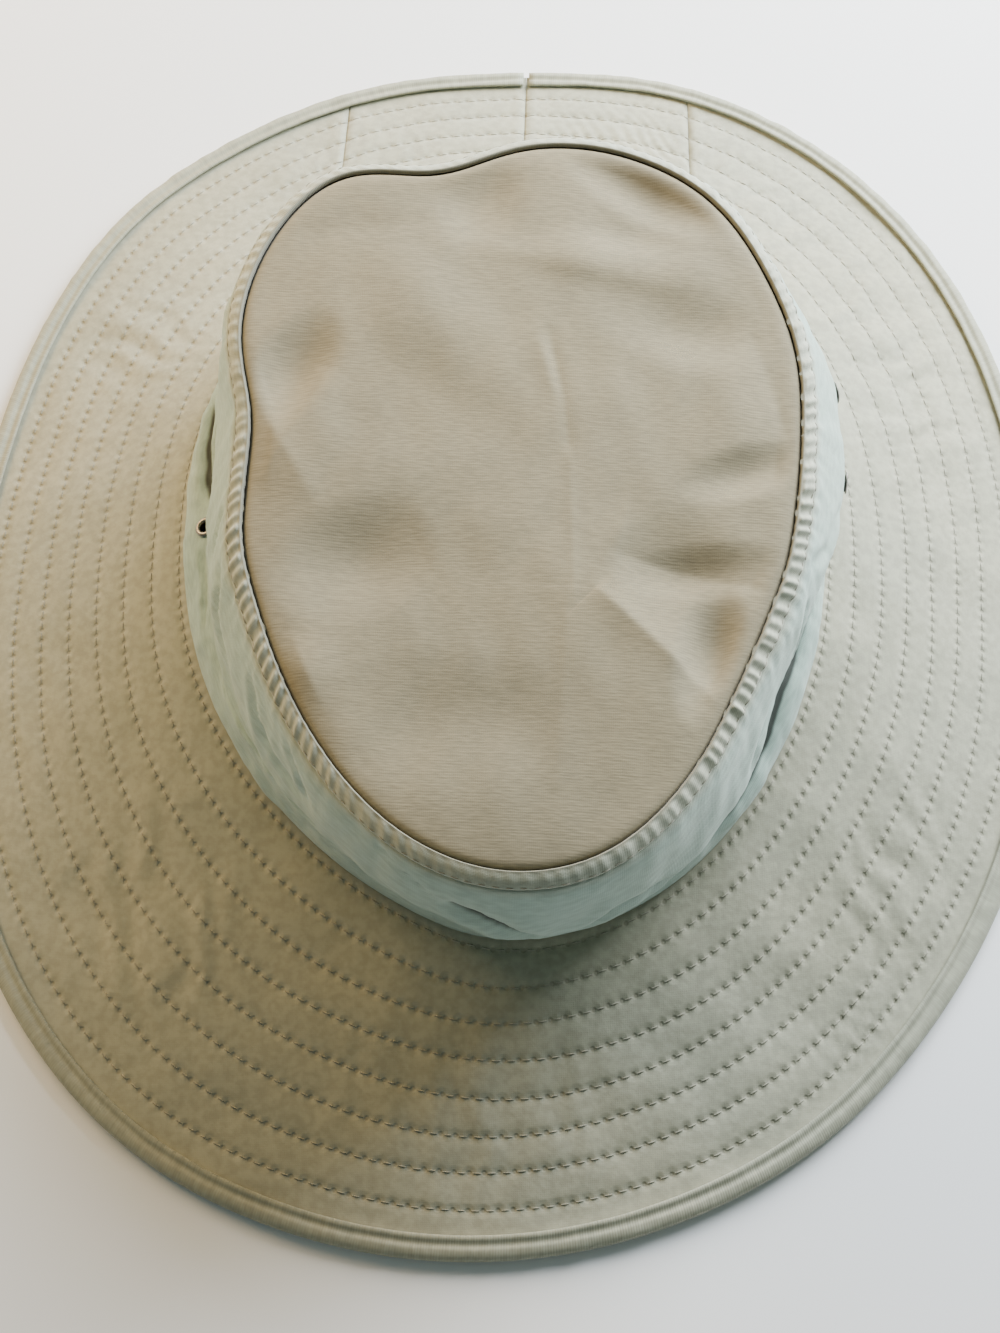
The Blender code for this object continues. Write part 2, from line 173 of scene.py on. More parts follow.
def corners_of(piece):
    return read(piece.data.loops, "vertex_index", 1, np.int32)[:, 0]


def tree_of(piece):
    """The faces of a piece in a tree that finds where a ray meets them."""
    return BVHTree.FromPolygons([v.co for v in piece.data.vertices],
                                [tuple(face.vertices) for face in piece.data.polygons])


def move_points(piece, points):
    piece.data.vertices.foreach_set("co", points.ravel())
    piece.data.update()


def select(piece, kind, chosen):
    """Select vertices, edges or polygons by a list of true and false, in object mode."""
    for name in ("vertices", "edges", "polygons"):
        items = getattr(piece.data, name)
        picked = chosen if name == kind else np.zeros(len(items))
        items.foreach_set("select", np.array(picked, bool))


def edit(piece, mode):
    """Go into edit mode on one piece, selecting by VERT, EDGE or FACE."""
    activate(piece)
    kinds = ("VERT", "EDGE", "FACE")
    bpy.context.tool_settings.mesh_select_mode = [kind == mode for kind in kinds]
    bpy.ops.object.mode_set(mode="EDIT")


def leave_edit():
    bpy.ops.object.mode_set(mode="OBJECT")


def delete_faces(piece, chosen):
    select(piece, "polygons", chosen)
    edit(piece, "FACE")
    bpy.ops.mesh.delete(type="FACE")
    leave_edit()


# %% Take the outer sheet off a solid
def outer_sheet(node, name, cloth, first_face):
    """Outer face of a solid's copy as an open sheet; first_face scores a face that belongs to it."""
    piece = bpy.data.objects.new(name, frame["nodes"][node].data.copy())
    piece.data.name = name
    piece.data.materials.clear()
    bpy.context.scene.collection.objects.link(piece)
    activate(piece)
    bpy.ops.mesh.customdata_custom_splitnormals_clear()
    edit(piece, "VERT")
    bpy.ops.mesh.select_all(action="SELECT")
    bpy.ops.mesh.remove_doubles(threshold=0.00002)
    leave_edit()
    faces = piece.data.polygons
    tree = tree_of(piece)
    cut_edge = []
    for face in faces:
        hit = tree.ray_cast(face.center - face.normal * 1e-5, -face.normal, cloth * 1.35)
        cut_edge.append(hit[0] is None)
    delete_faces(piece, cut_edge)
    faces = piece.data.polygons
    start = max(range(len(faces)), key=lambda i: first_face(faces[i]))
    select(piece, "polygons", [i == start for i in range(len(faces))])
    edit(piece, "FACE")
    bpy.ops.mesh.select_linked()
    bpy.ops.mesh.select_all(action="INVERT")
    bpy.ops.mesh.delete(type="FACE")
    bpy.ops.mesh.select_all(action="SELECT")
    wide = math.radians(120)
    bpy.ops.mesh.tris_convert_to_quads(face_threshold=wide, shape_threshold=wide,
                                       topology_influence=1.0)
    leave_edit()
    sides = [len(face.vertices) for face in piece.data.polygons]
    print(name, "sheet:", sides.count(4), "quads,", len(sides) - sides.count(4), "other faces")
    return piece


def refine(piece, levels):
    """Smooth the sheet by subdivision and keep the corners of its border."""
    activate(piece)
    smooth = piece.modifiers.new("smooth cloth", "SUBSURF")
    smooth.levels = levels
    smooth.render_levels = levels
    smooth.boundary_smooth = "PRESERVE_CORNERS"
    bpy.ops.object.modifier_apply(modifier=smooth.name)
    bpy.ops.object.shade_smooth()


def thicken(piece, cloth):
    """Give the sheet its thickness towards the inside of the hat."""
    activate(piece)
    wall = piece.modifiers.new("cloth thickness", "SOLIDIFY")
    wall.thickness = cloth
    wall.offset = -1.0
    bpy.ops.object.modifier_apply(modifier=wall.name)
    bpy.ops.object.shade_smooth()
    print(piece.name, "has", sum(len(face.vertices) - 2 for face in piece.data.polygons), "triangles")


def height_of_normal(face):
    return face.normal.z


def distance_from_axis(face):
    return face.center.xy.length


# %% [markdown]
# ## Finding the way round the hat
# Cloth detail follows the seams, not the axes.  Every point gets two numbers: its direction in
# degrees from the front, and its place between two seams.  Both are measured on the sheets
# themselves, so the detail sits right whatever the hat's size.

# %% Directions and places
hat_middle = np.array([0.0011, 0.0015])
tip_middle = np.array([0.0026, -0.0095])


def directions(points, middle=hat_middle):
    """Degrees from the front of the hat, positive towards its right."""
    out = points[:, :2] - middle
    return np.degrees(np.arctan2(out[:, 0], -out[:, 1]))


def radii(points, middle=hat_middle):
    return np.hypot(*(points[:, :2] - middle).T)


def border_points(piece):
    """True for each point on an open border of the sheet."""
    keys = {}
    for face in piece.data.polygons:
        for key in face.edge_keys:
            keys[key] = keys.get(key, 0) + 1
    on_border = np.zeros(len(piece.data.vertices), bool)
    on_border[[index for key, count in keys.items() if count == 1 for index in key]] = True
    return on_border


def ranks_from(piece, start):
    """Number of mesh edges from each point to the starting ones."""
    rank = np.where(start, 0, -1)
    edges = edges_of(piece)
    for step in range(1000):
        for near, far in ((0, 1), (1, 0)):
            reached = (rank[edges[:, near]] == step) & (rank[edges[:, far]] < 0)
            rank[edges[reached, far]] = step + 1
        if (rank >= 0).all():
            break
    return rank


class Ring:
    """A closed line round the hat, as radius and height for each direction."""

    def __init__(self, points, middle=hat_middle):
        turn = directions(points, middle)
        order = np.argsort(turn)
        self.middle = middle
        self.turn = turn[order]
        self.radius = radii(points, middle)[order]
        self.height = points[order, 2]

    def at(self, turn):
        return np.interp(turn, self.turn, self.radius, period=360.0)

    def point(self, turn, out=0.0):
        """Point on the line in a direction, or a distance outside it."""
        radius = self.at(turn) + out
        bearing = np.radians(turn)
        height = np.interp(turn, self.turn, self.height, period=360.0)
        return np.column_stack([self.middle[0] + radius * np.sin(bearing),
                                self.middle[1] - radius * np.cos(bearing), height])

    def length_to(self, turn, out=0.0):
        """Length along the line from the back of the hat to a direction."""
        steps = np.linspace(-180.0, 180.0, 721)
        line = self.point(steps, out)
        runs = np.concatenate([[0.0], np.cumsum(np.linalg.norm(np.diff(line, axis=0), axis=1))])
        return np.interp(turn, steps, runs)


def soft_noise(across, along, wave, seed, waves=14):
    """Smooth random field between about -1 and 1 with one typical wavelength."""
    chance = np.random.default_rng(seed)
    field = np.zeros_like(across)
    for _ in range(waves):
        heading = chance.uniform(0.0, math.tau)
        length = wave * chance.uniform(0.75, 1.5)
        phase = chance.uniform(0.0, math.tau)
        run = across * math.cos(heading) + along * math.sin(heading)
        field += np.cos(math.tau * run / length + phase)
    return field / math.sqrt(waves / 2) / 2


Swell = namedtuple("Swell", "height wave seed")


def soft_relief(across, along, swells):
    """Soft random swelling: a sum of random fields, each with a height and a wavelength."""
    return sum(swell.height * soft_noise(across, along, swell.wave, swell.seed) for swell in swells)


def window(distance):
    """1 in the middle, falling smoothly to 0 at distance 1."""
    inside = np.clip(1.0 - np.abs(distance), 0.0, 1.0)
    return inside ** 2 * (3.0 - 2.0 * inside)


def turn_between(turn, other):
    """Signed degrees from another direction, by the short way."""
    return (turn - other + 180.0) % 360.0 - 180.0


def lay_map(piece, name, along, across, period):
    """A texture map from two numbers for each point; along starts again after one period."""
    corners = corners_of(piece)
    totals = read(piece.data.polygons, "loop_total", 1, np.int32)[:, 0]
    starts = np.concatenate([[0], np.cumsum(totals)[:-1]])
    u = along[corners]
    lowest = np.repeat(np.minimum.reduceat(u, starts), totals)
    highest = np.repeat(np.maximum.reduceat(u, starts), totals)
    u = np.where((highest - lowest > period / 2) & (u - lowest < period / 2), u + period, u)
    layer = piece.data.uv_layers.new(name=name)
    layer.data.foreach_set("uv", np.column_stack([u, across[corners]]).ravel())

# %% [markdown]
# ## Seam lines that the pieces share
# Where two cloths are sewn together, both have to agree on the line.  It could be written down
# again as a curve, but then it would drift from the solids; so it is read off their open borders.

# %% Seam lines that the pieces share
brim_cloth = 0.0022
crown_cloth = 0.0012
binding_cloth = 0.0010
# Borders of the wall below foot_ceiling are its foot, and those above groove_floor its upper seam.
foot_ceiling = 0.045
groove_floor = 0.060
tape_floor = 0.002
tape_end = 179.0

wall_sheet = outer_sheet("crown_side", "side_wall", crown_cloth, distance_from_axis)
binding = outer_sheet("brim_binding", "edge_binding", binding_cloth, distance_from_axis)

wall_points = points_of(wall_sheet)
wall_border = border_points(wall_sheet)
foot = Ring(wall_points[wall_border & (wall_points[:, 2] < foot_ceiling)])
binding_points = points_of(binding)
binding_edge = border_points(binding) & (binding_points[:, 2] > tape_floor)
tape_line = Ring(binding_points[binding_edge & (np.abs(directions(binding_points)) < tape_end)])
print("head opening", round(foot.length_to(180.0) * 1000), "mm round, tape line",
      round(tape_line.length_to(180.0) * 1000), "mm")

# %% [markdown]
# ## Brim
# The brim is two layers of cloth over a stiff one, quilted with eight rows of stitching.  Each row
# pulls the cloth down into a groove, and the cloth between two rows stands up like a long pillow,
# fuller towards the outer row.  The grooves are real relief, because they catch the light at the
# edge of the brim.  The needle holes, a millimetre wide, are left to bump and painted shade.

# %% Rows of stitching
stitch = 0.00335
first_row = 0.027
row_step = 0.1265
row_count = 8
row_wander = 0.0035


def row_radius(row, turn):
    """Radius of a stitched row in a direction, with the small wander of a hand-guided seam."""
    inner, outer = foot.at(turn), tape_line.at(turn)
    swing = np.sin(np.radians(turn) * (5 + row % 3) + row * 1.7)
    wander = row_wander * swing * (0.4 + 0.6 * (row > 0))
    return inner + (outer - inner) * (first_row + row_step * row + wander)


row_lengths = []
for row in range(row_count):
    turns = np.radians(np.arange(0.0, 360.0, 1.0))
    line = row_radius(row, np.degrees(turns))[:, None] * np.column_stack([np.sin(turns), np.cos(turns)])
    row_lengths.append(np.linalg.norm(np.roll(line, -1, 0) - line, axis=1).sum())
row_stitches = [2 * round(length / stitch / 2) for length in row_lengths]
print("stitches in each row:", row_stitches)


def brim_place(points):
    """Direction of each point, and its place from the foot of the crown (0) to the tape (1)."""
    turn = directions(points)
    inner, outer = foot.at(turn), tape_line.at(turn)
    return turn, (radii(points) - inner) / (outer - inner)


# %% Relief of the quilting
pillow_height = 0.00022
groove_depth = 0.00020
groove_width = 0.0012
# About the highest value of share * (1 - share) ** 0.6: so pillow_height is the real height.
pillow_top = 0.345


def quilt_relief(turn, place):
    """Height of the quilted cloth over its plain form."""
    inner, outer = foot.at(turn), tape_line.at(turn)
    radius = inner + (outer - inner) * place
    rows = np.array([row_radius(row, turn) for row in range(row_count)])
    nearest = np.abs(radius - rows).min(0)
    groove = -groove_depth * np.exp(-(nearest / groove_width) ** 2)
    band = np.clip((rows < radius).sum(0), 1, row_count - 1)
    columns = np.arange(len(radius))
    low, high = rows[band - 1, columns], rows[band, columns]
    share = np.clip((radius - low) / (high - low), 0.0, 1.0)
    pillow = pillow_height * share * (1.0 - share) ** 0.6 / pillow_top
    return groove + pillow

# %% [markdown]
# ## Soft creases of the brim
# A worn brim isn't flat between its rows: it swells a little all over and has patches of small
# parallel crinkles.  A cloth simulation would put them anywhere, so a table places each patch.

# %% Soft creases of the brim
Crinkle = namedtuple("Crinkle", "turn place turn_width place_width heading wave height")
crinkles = [
    Crinkle(38, 0.86, 16, 0.30, 20, 0.0042, 0.00034),
    Crinkle(52, 0.62, 18, 0.35, 55, 0.0090, 0.00035),
    Crinkle(122, 0.60, 34, 0.50, -38, 0.0130, 0.00055),
    Crinkle(150, 0.55, 16, 0.55, -30, 0.0100, 0.00050),
    Crinkle(-42, 0.55, 22, 0.50, 80, 0.0110, 0.00050),
    Crinkle(-70, 0.55, 24, 0.50, 70, 0.0120, 0.00030),
    Crinkle(-122, 0.55, 12, 0.45, 35, 0.0095, 0.00035),
    Crinkle(-158, 0.55, 16, 0.50, 85, 0.0080, 0.00022),
    Crinkle(0, 0.60, 26, 0.50, 85, 0.0120, 0.00026),
    Crinkle(168, 0.50, 12, 0.50, 62, 0.0034, 0.00030),
    Crinkle(161, 0.45, 9, 0.45, 48, 0.0046, 0.00025),
]
brim_swells = [Swell(0.00024, 0.026, 11), Swell(0.00007, 0.011, 12)]


def crease_relief(points, turn, place):
    """Swelling of the whole brim, and the crinkles of the table."""
    x, y = points[:, 0], points[:, 1]
    relief = soft_relief(x, y, brim_swells)
    wander = 0.35 * soft_noise(x, y, 0.020, 13)
    for crinkle in crinkles:
        heading = math.radians(crinkle.heading)
        along = (x * math.sin(heading) + y * math.cos(heading)) / crinkle.wave
        reach = np.hypot(turn_between(turn, crinkle.turn) / crinkle.turn_width,
                         (place - crinkle.place) / crinkle.place_width)
        relief += crinkle.height * window(reach) * np.cos(math.tau * (along + wander))
    return relief

# %% [markdown]
# ## Brim panels
# Three panels meet in seams at the back.  Each is smoothed on its own, then its points move along
# their normals by the relief above, and beside a seam they dip.  The relief is real, so it also
# shows where the brim is seen from its edge.


# %% Shape the three brim panels
def lay_rows(piece):
    """A map for the needle holes: stitches along each row, and millimetres from the row."""
    turn, place = brim_place(points_of(piece))
    rows = np.array([row_radius(row, turn) for row in range(row_count)])
    radius = radii(points_of(piece))
    corners = corners_of(piece).reshape(-1, 4)
    centre = radius[corners].mean(1)
    nearest = np.abs(centre - rows[:, corners].mean(2)).argmin(0)
    count = np.array(row_stitches)[nearest]
    spread = turn[corners]
    spread = np.where(spread - spread.min(1, keepdims=True) > 180.0, spread - 360.0, spread)
    along = spread / 360.0 * count[:, None]
    across = (radius[corners] - rows[nearest[:, None], corners]) * 1000.0
    layer = piece.data.uv_layers.new(name="rows")
    layer.data.foreach_set("uv", np.dstack([along, across]).ravel())


back_start = 0.05
seam_lines = (-0.0525 + hat_middle[0], hat_middle[0], 0.0485 + hat_middle[0])
seam_dip = 0.00045
seam_dip_width = 0.0008
seam_ridge = 0.00020
seam_ridge_place = 0.0026
seam_ridge_width = 0.0016
seam_half_gap = 0.00004


def shape_brim(node, name, levels):
    piece = outer_sheet(node, name, brim_cloth, height_of_normal)
    refine(piece, levels)
    points = points_of(piece)
    turn, place = brim_place(points)
    behind = points[:, 1] > back_start
    flat = np.clip((place + 0.01) / 0.05, 0.0, 1.0) * np.clip((1.0 - place) / 0.04, 0.0, 1.0)
    rise = (quilt_relief(turn, place) + crease_relief(points, turn, place)) * flat
    for line in seam_lines:
        beside = np.where(behind, np.abs(points[:, 0] - line), 1.0)
        ridge = (beside - seam_ridge_place) / seam_ridge_width
        rise -= seam_dip * np.exp(-(beside / seam_dip_width) ** 2) * flat
        rise += seam_ridge * np.exp(-ridge ** 2) * flat
    points = points + normals_of(piece) * rise[:, None]
    for line in seam_lines:
        at_seam = (np.abs(points[:, 0] - line) < 0.0004) & (points[:, 1] > back_start)
        at_seam &= border_points(piece)
        points[at_seam, 0] = line + seam_half_gap * np.sign(points[at_seam, 0] - line)
    move_points(piece, points)
    lay_rows(piece)
    return piece


brim_pieces = [shape_brim("brim_front", "brim_front_panel", 3),
               shape_brim("brim_back_left", "brim_back_left_panel", 4),
               shape_brim("brim_back_right", "brim_back_right_panel", 4)]

# %% [markdown]
# ## Thread of the rows
# A stitch is a short length of thread that dives into the cloth at both ends.  A texture would
# look painted on, so one small rod is bent and copied along each row, laid on the sheet by a ray.

# %% Thread of the rows
thread_radius = 0.00019
thread_length = 0.0029
thread_thinning = 0.45
thread_lift = 0.00012
thread_dive = 0.00034
bpy.ops.object.select_all(action="DESELECT")
bpy.ops.mesh.primitive_cylinder_add(vertices=6, radius=thread_radius, depth=thread_length,
                                    end_fill_type="TRIFAN", rotation=(0.0, math.pi / 2, 0.0))
one_stitch = bpy.context.object
bpy.ops.object.transform_apply(location=True, rotation=True, scale=True)
rod_ends = points_of(one_stitch)[edges_of(one_stitch), 0]
select(one_stitch, "edges", np.abs(rod_ends[:, 0] - rod_ends[:, 1]) > 0.002)
edit(one_stitch, "EDGE")
bpy.ops.mesh.subdivide(number_cuts=3)
leave_edit()
stitch_points = points_of(one_stitch)
share = stitch_points[:, 0] / (thread_length / 2)
stitch_points[:, 1:] *= (1.0 - thread_thinning * share ** 4)[:, None]
stitch_points[:, 2] += thread_lift - thread_dive * share ** 2
stitch_faces = [tuple(face.vertices) for face in one_stitch.data.polygons]
bpy.data.objects.remove(one_stitch)
print("one stitch has", len(stitch_faces), "faces")


def sew(name, surface, lines, scale=1.0, sink=0.00004):
    """Thread along lines of (middle, way) pairs, laid on the sheets of a surface."""
    verts, faces = [], []
    for tree, middle, way in lines:
        hit = tree.ray_cast(middle, surface(middle))
        if hit[0] is None:
            continue
        place, normal = hit[0], hit[1]
        along = (way - normal * way.dot(normal)).normalized()
        side = normal.cross(along)
        turned = np.array([along, side, normal])
        start = len(verts)
        verts.extend((stitch_points * scale) @ turned + np.array(place - normal * sink))
        faces.extend(tuple(i + start for i in face) for face in stitch_faces)
    mesh = bpy.data.meshes.new(name)
    mesh.from_pydata([tuple(v) for v in verts], [], faces)
    piece = bpy.data.objects.new(name, mesh)
    bpy.context.scene.collection.objects.link(piece)
    activate(piece)
    bpy.ops.object.shade_smooth()
    print(name, "has", len(lines), "stitches")
    return piece


def row_point(row, turn):
    """A point above a row in one direction."""
    radius = float(row_radius(row, np.array([turn]))[0])
    bearing = math.radians(turn)
    return Vector((hat_middle[0] + radius * math.sin(bearing),
                   hat_middle[1] - radius * math.cos(bearing), 0.2))


def row_lines():
    lines = []
    trees = [tree_of(piece) for piece in brim_pieces]
    for row in range(row_count):
        count = row_stitches[row]
        for i in range(count):
            turn = (i + 0.5) / count * 360.0 - 180.0
            middle = row_point(row, turn)
            after = row_point(row, turn + 0.5)
            for tree in trees:
                if tree.ray_cast(middle, Vector((0, 0, -1)))[0] is not None:
                    lines.append((tree, middle, (after - middle).normalized()))
                    break
    return lines


brim_thread = sew("brim_stitches", lambda middle: Vector((0, 0, -1)), row_lines())

# %% Thickness of the brim
for piece in brim_pieces:
    thicken(piece, brim_cloth)

# %% [markdown]
# ## Side wall
# The wall is plain cloth, taller than it stands: it has slumped into a few long folds.  The solid
# has the large folds; the sheet gets the sharp creases, the small wrinkles and the eyelet holes.

# %% Close the eyelet holes of the wall's sheet
# The holes are cut again, round, once the sheet is fine.
eyelet_room = 0.006
eyelet_nodes = ["eyelet_left_front", "eyelet_left_rear", "eyelet_right_front", "eyelet_right_rear"]
eyelet_middles = [(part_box(node)[0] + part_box(node)[1]) / 2 for node in eyelet_nodes]
near_hole = np.array([min((v.co - middle).length for middle in eyelet_middles) < eyelet_room
                      for v in wall_sheet.data.vertices])
select(wall_sheet, "vertices", near_hole & border_points(wall_sheet))
edit(wall_sheet, "VERT")
bpy.ops.mesh.fill_holes(sides=30)
bpy.ops.mesh.dissolve_verts()
leave_edit()
print("wall sheet after closing:", len(wall_sheet.data.polygons), "faces")

# %% [markdown]
# ## Places on the wall, and its strip
# Folds and puckers follow the cloth, not the height above the table, so each point of the wall
# gets a share: 0 at its foot, 1 at the tip's seam.  It is counted along the mesh.  The strip that
# is sewn down at the top is cut off as a sheet of its own, because it gets a finer mesh.

# %% Places on the wall
refine(wall_sheet, 2)
wall_points = points_of(wall_sheet)
wall_border = border_points(wall_sheet)
from_foot = ranks_from(wall_sheet, wall_border & (wall_points[:, 2] < foot_ceiling))
at_groove = wall_border & (wall_points[:, 2] > groove_floor)
from_groove = ranks_from(wall_sheet, at_groove)
wall_share = from_foot / (from_foot + from_groove)
strip_edge = 0.905
groove_line = Ring(wall_points[at_groove], tip_middle)
print("seam round the tip:", round(groove_line.length_to(180.0) * 1000), "mm")


def separate_faces(piece, chosen, name):
    """Cut faces off a sheet as a piece of their own."""
    select(piece, "polygons", chosen)
    edit(piece, "FACE")
    bpy.ops.mesh.separate(type="SELECTED")
    leave_edit()
    part = [o for o in bpy.context.selected_objects if o is not piece][0]
    part.name = name
    part.data.name = name
    return part


def write_record(piece, name, values):
    """Keep one number for each point of a piece under a name, for later steps and for its finish."""
    layer = piece.data.attributes.new(name, "FLOAT", "POINT")
    layer.data.foreach_set("value", values.astype(np.float32))


def share_of(piece):
    return read(piece.data.attributes["share"].data, "value", 1, np.float32)[:, 0].astype(float)


write_record(wall_sheet, "share", wall_share)
face_share = np.array([wall_share[list(face.vertices)].mean() for face in wall_sheet.data.polygons])
strip = separate_faces(wall_sheet, face_share > strip_edge, "seam_strip")

# %% [markdown]
# ## Puckered strip
# Round the tip panel the seam allowance is sewn down twice, and the two seams gather the cloth
# between them into short ribs, about one to a stitch.  They are strong at the sides, where the
# seam runs across the bias of the cloth, and nearly gone at the front and back.

# %% Puckers of the strip
pucker_pitch = 0.0035
pucker_height = 0.00115
pucker_wander = 0.22
pucker_widths = (0.28, 0.40)
pucker_sizes = (0.60, 1.10)
strip_out = 0.003
Gather = namedtuple("Gather", "turn strength")
gathers = [
    Gather(-180, 0.15), Gather(-150, 0.35), Gather(-120, 0.45), Gather(-100, 0.50),
    Gather(-80, 0.90), Gather(-45, 0.90), Gather(-25, 0.40), Gather(0, 0.12),
    Gather(25, 0.45), Gather(45, 1.00), Gather(100, 0.95), Gather(130, 0.75), Gather(155, 0.35),
]
pucker_count = round(groove_line.length_to(180.0, strip_out) / pucker_pitch)
chance = np.random.default_rng(5)
pucker_samples = np.linspace(0.0, 1.0, 8001)
pucker_line = np.zeros_like(pucker_samples)
for i in range(pucker_count):
    centre = (i + 0.5 + chance.uniform(-pucker_wander, pucker_wander)) / pucker_count
    width = chance.uniform(*pucker_widths) / pucker_count
    gap = np.abs((pucker_samples - centre + 0.5) % 1.0 - 0.5)
    pucker_line += chance.uniform(*pucker_sizes) * np.exp(-(gap / width) ** 2)
print("puckers round the tip:", pucker_count)


def gathered(turn):
    """How strongly the seam is gathered in each direction."""
    turns, strengths = zip(*gathers)
    return np.interp(turn, turns, strengths, period=360.0)


def pucker_ribs(along):
    """Ribs of the strip from the share of the way round it, about -0.5 to 0.5."""
    return np.interp(along % 1.0, pucker_samples, pucker_line) - 0.5


def pucker_relief(points, share):
    """Ribs across the strip, fading out below its lower seam, and the dip along that seam."""
    turn = directions(points, tip_middle)
    whole = groove_line.length_to(180.0, strip_out)
    slant = (share - 0.95) * 0.018
    ribs = pucker_ribs((groove_line.length_to(turn, strip_out) + slant) / whole)
    on_strip = np.clip((share - strip_edge) / 0.02, 0.0, 1.0)
    on_strip *= np.clip((0.996 - share) / 0.014, 0.0, 1.0)
    below = 0.60 * window((share - strip_edge) / 0.075) * (share < strip_edge)
    dip = -0.00035 * np.exp(-((share - strip_edge) / 0.0055) ** 2)
    swell = 0.00008 * window((share - 0.955) / 0.05)
    return pucker_height * gathered(turn) * ribs * (on_strip + below) + dip + swell


refine(strip, 2)
strip_points = points_of(strip)
strip_share = share_of(strip)
strip_points += normals_of(strip) * pucker_relief(strip_points, strip_share)[:, None]
move_points(strip, strip_points)

# %% [markdown]
# ## Folds of the wall
# The long folds are in the solid.  What it can't show is how sharply thin cloth turns: here each
# crease is a line on the wall, and the cloth is pulled in along it and pushed out beside it.
# Its bottom is darkened with painted shade.

# %% Sharp creases
wall_radius = 0.085
wall_height = 0.070
# A crease is a bent line of (direction, share) pairs.  Shade is how dark the painted shade at the
# bottom of its fold is.
Crease = namedtuple("Crease", "line depth width shade")
creases = [
    Crease([(-16, 0.870), (-10.6, 0.815), (-5.7, 0.762)], 0.0006, 0.0007, 0.45),
    Crease([(-6.6, 0.768), (-4.1, 0.748), (-2.2, 0.740), (0, 0.715), (3, 0.665), (5.4, 0.616)],
           0.0026, 0.0019, 0.85),
    Crease([(5, 0.616), (8.7, 0.602), (12, 0.625), (15, 0.680), (19, 0.665), (24, 0.60)],
           0.0014, 0.0012, 0.70),
    Crease([(66, 0.78), (62, 0.77), (58, 0.69), (53, 0.705), (48, 0.72), (43, 0.705), (40, 0.66)],
           0.0022, 0.0014, 0.90),
    Crease([(77, 0.180), (71.4, 0.215), (67.2, 0.230), (63.6, 0.218), (57.4, 0.230), (53.4, 0.212),
            (48.8, 0.180), (44.3, 0.180), (40.5, 0.160), (35.6, 0.142), (31.9, 0.100)],
           0.0010, 0.0022, 1.0),
    Crease([(-66, 0.83), (-62.8, 0.81), (-60.4, 0.745), (-57, 0.705), (-53, 0.68)],
           0.0015, 0.0014, 0.55),
    Crease([(-113, 0.120), (-108.7, 0.150), (-102.2, 0.180), (-95.7, 0.188), (-91, 0.205)],
           0.0018, 0.0017, 1.0),
    Crease([(-46, 0.84), (-41, 0.74), (-35, 0.70), (-29, 0.70)], 0.0013, 0.0013, 0.12),
    Crease([(-60, 0.30), (-48, 0.42), (-36, 0.48), (-26, 0.60)], 0.0015, 0.0016, 0.15),
    Crease([(-34, 0.86), (-30, 0.80), (-28, 0.72)], 0.0010, 0.0012, 0.10),
    Crease([(-76, 0.86), (-73, 0.80), (-70, 0.74)], 0.0010, 0.0008, 0.45),
    Crease([(-82, 0.20), (-74, 0.24), (-66, 0.22)], 0.0012, 0.0012, 0.25),
    Crease([(70, 0.85), (78, 0.74), (88, 0.70)], 0.0010, 0.0014, 0.10),
]
# The edge of the overhang stands a little further out or in than in the solid.
EdgeShift = namedtuple("EdgeShift", "turn out")
edge_shifts = [
    EdgeShift(10, 0.0), EdgeShift(22, 0.0003), EdgeShift(30, 0.0016), EdgeShift(38, 0.0021),
    EdgeShift(45, 0.0002), EdgeShift(52, -0.0012), EdgeShift(60, -0.0010), EdgeShift(68, 0.0),
]
wall_swells = [Swell(0.00040, 0.022, 21), Swell(0.00018, 0.009, 22)]
upright_swells = [Swell(0.00012, 0.010, 23)]
print("sharp creases:", len(creases))


def wall_places(points, share):
    """Wall laid flat: metres round it and metres up it."""
    return np.radians(directions(points)) * wall_radius, share * wall_height


def from_crease(along, up, line):
    """Distance of each place from a bent line of (direction, share), and how far along it that is."""
    ends = np.array([(math.radians(turn) * wall_radius, share * wall_height) for turn, share in line])
    nearest = np.full(len(along), 1.0)
    progress = np.zeros(len(along))
    for i, (start, end) in enumerate(zip(ends, ends[1:])):
        run = end - start
        right, above = along - start[0], up - start[1]
        part = np.clip((right * run[0] + above * run[1]) / (run @ run), 0.0, 1.0)
        distance = np.hypot(right - part * run[0], above - part * run[1])
        closer = distance < nearest
        nearest = np.where(closer, distance, nearest)
        progress = np.where(closer, (i + part) / (len(ends) - 1), progress)
    return nearest, progress


def crease_depths(points, share):
    """How dark the painted shade of the creases is, from 0 to 1, and the height that it adds."""
    along, up = wall_places(points, share)
    shade, height = np.zeros(len(points)), np.zeros(len(points))
    for crease in creases:
        distance, progress = from_crease(along, up, crease.line)
        ends = np.sqrt(np.clip(5.0 * progress * (1.0 - progress), 0.0, 1.0))
        pull = np.exp(-(distance / crease.width) ** 2) * ends
        lip = np.exp(-((distance - 2.2 * crease.width) / (1.3 * crease.width)) ** 2) * ends
        height += crease.depth * (0.28 * lip - pull)
        shade = np.maximum(shade, np.exp(-(distance / (0.8 * crease.width)) ** 2) * ends * crease.shade)
    turns, outs = zip(*edge_shifts)
    shift = np.interp(directions(points), turns, outs)
    return shade, height + shift * window((share - 0.62) / 0.17)


def wall_relief(points, share):
    """Wrinkles of the wall, and the height that its creases add."""
    along, up = wall_places(points, share)
    relief = soft_relief(along, up, wall_swells)
    relief += soft_relief(along * 2.2, up * 0.5, upright_swells)
    fade = np.clip(share / 0.05, 0.0, 1.0) * np.clip((strip_edge - share) / 0.03, 0.0, 1.0)
    return (relief + crease_depths(points, share)[1]) * fade


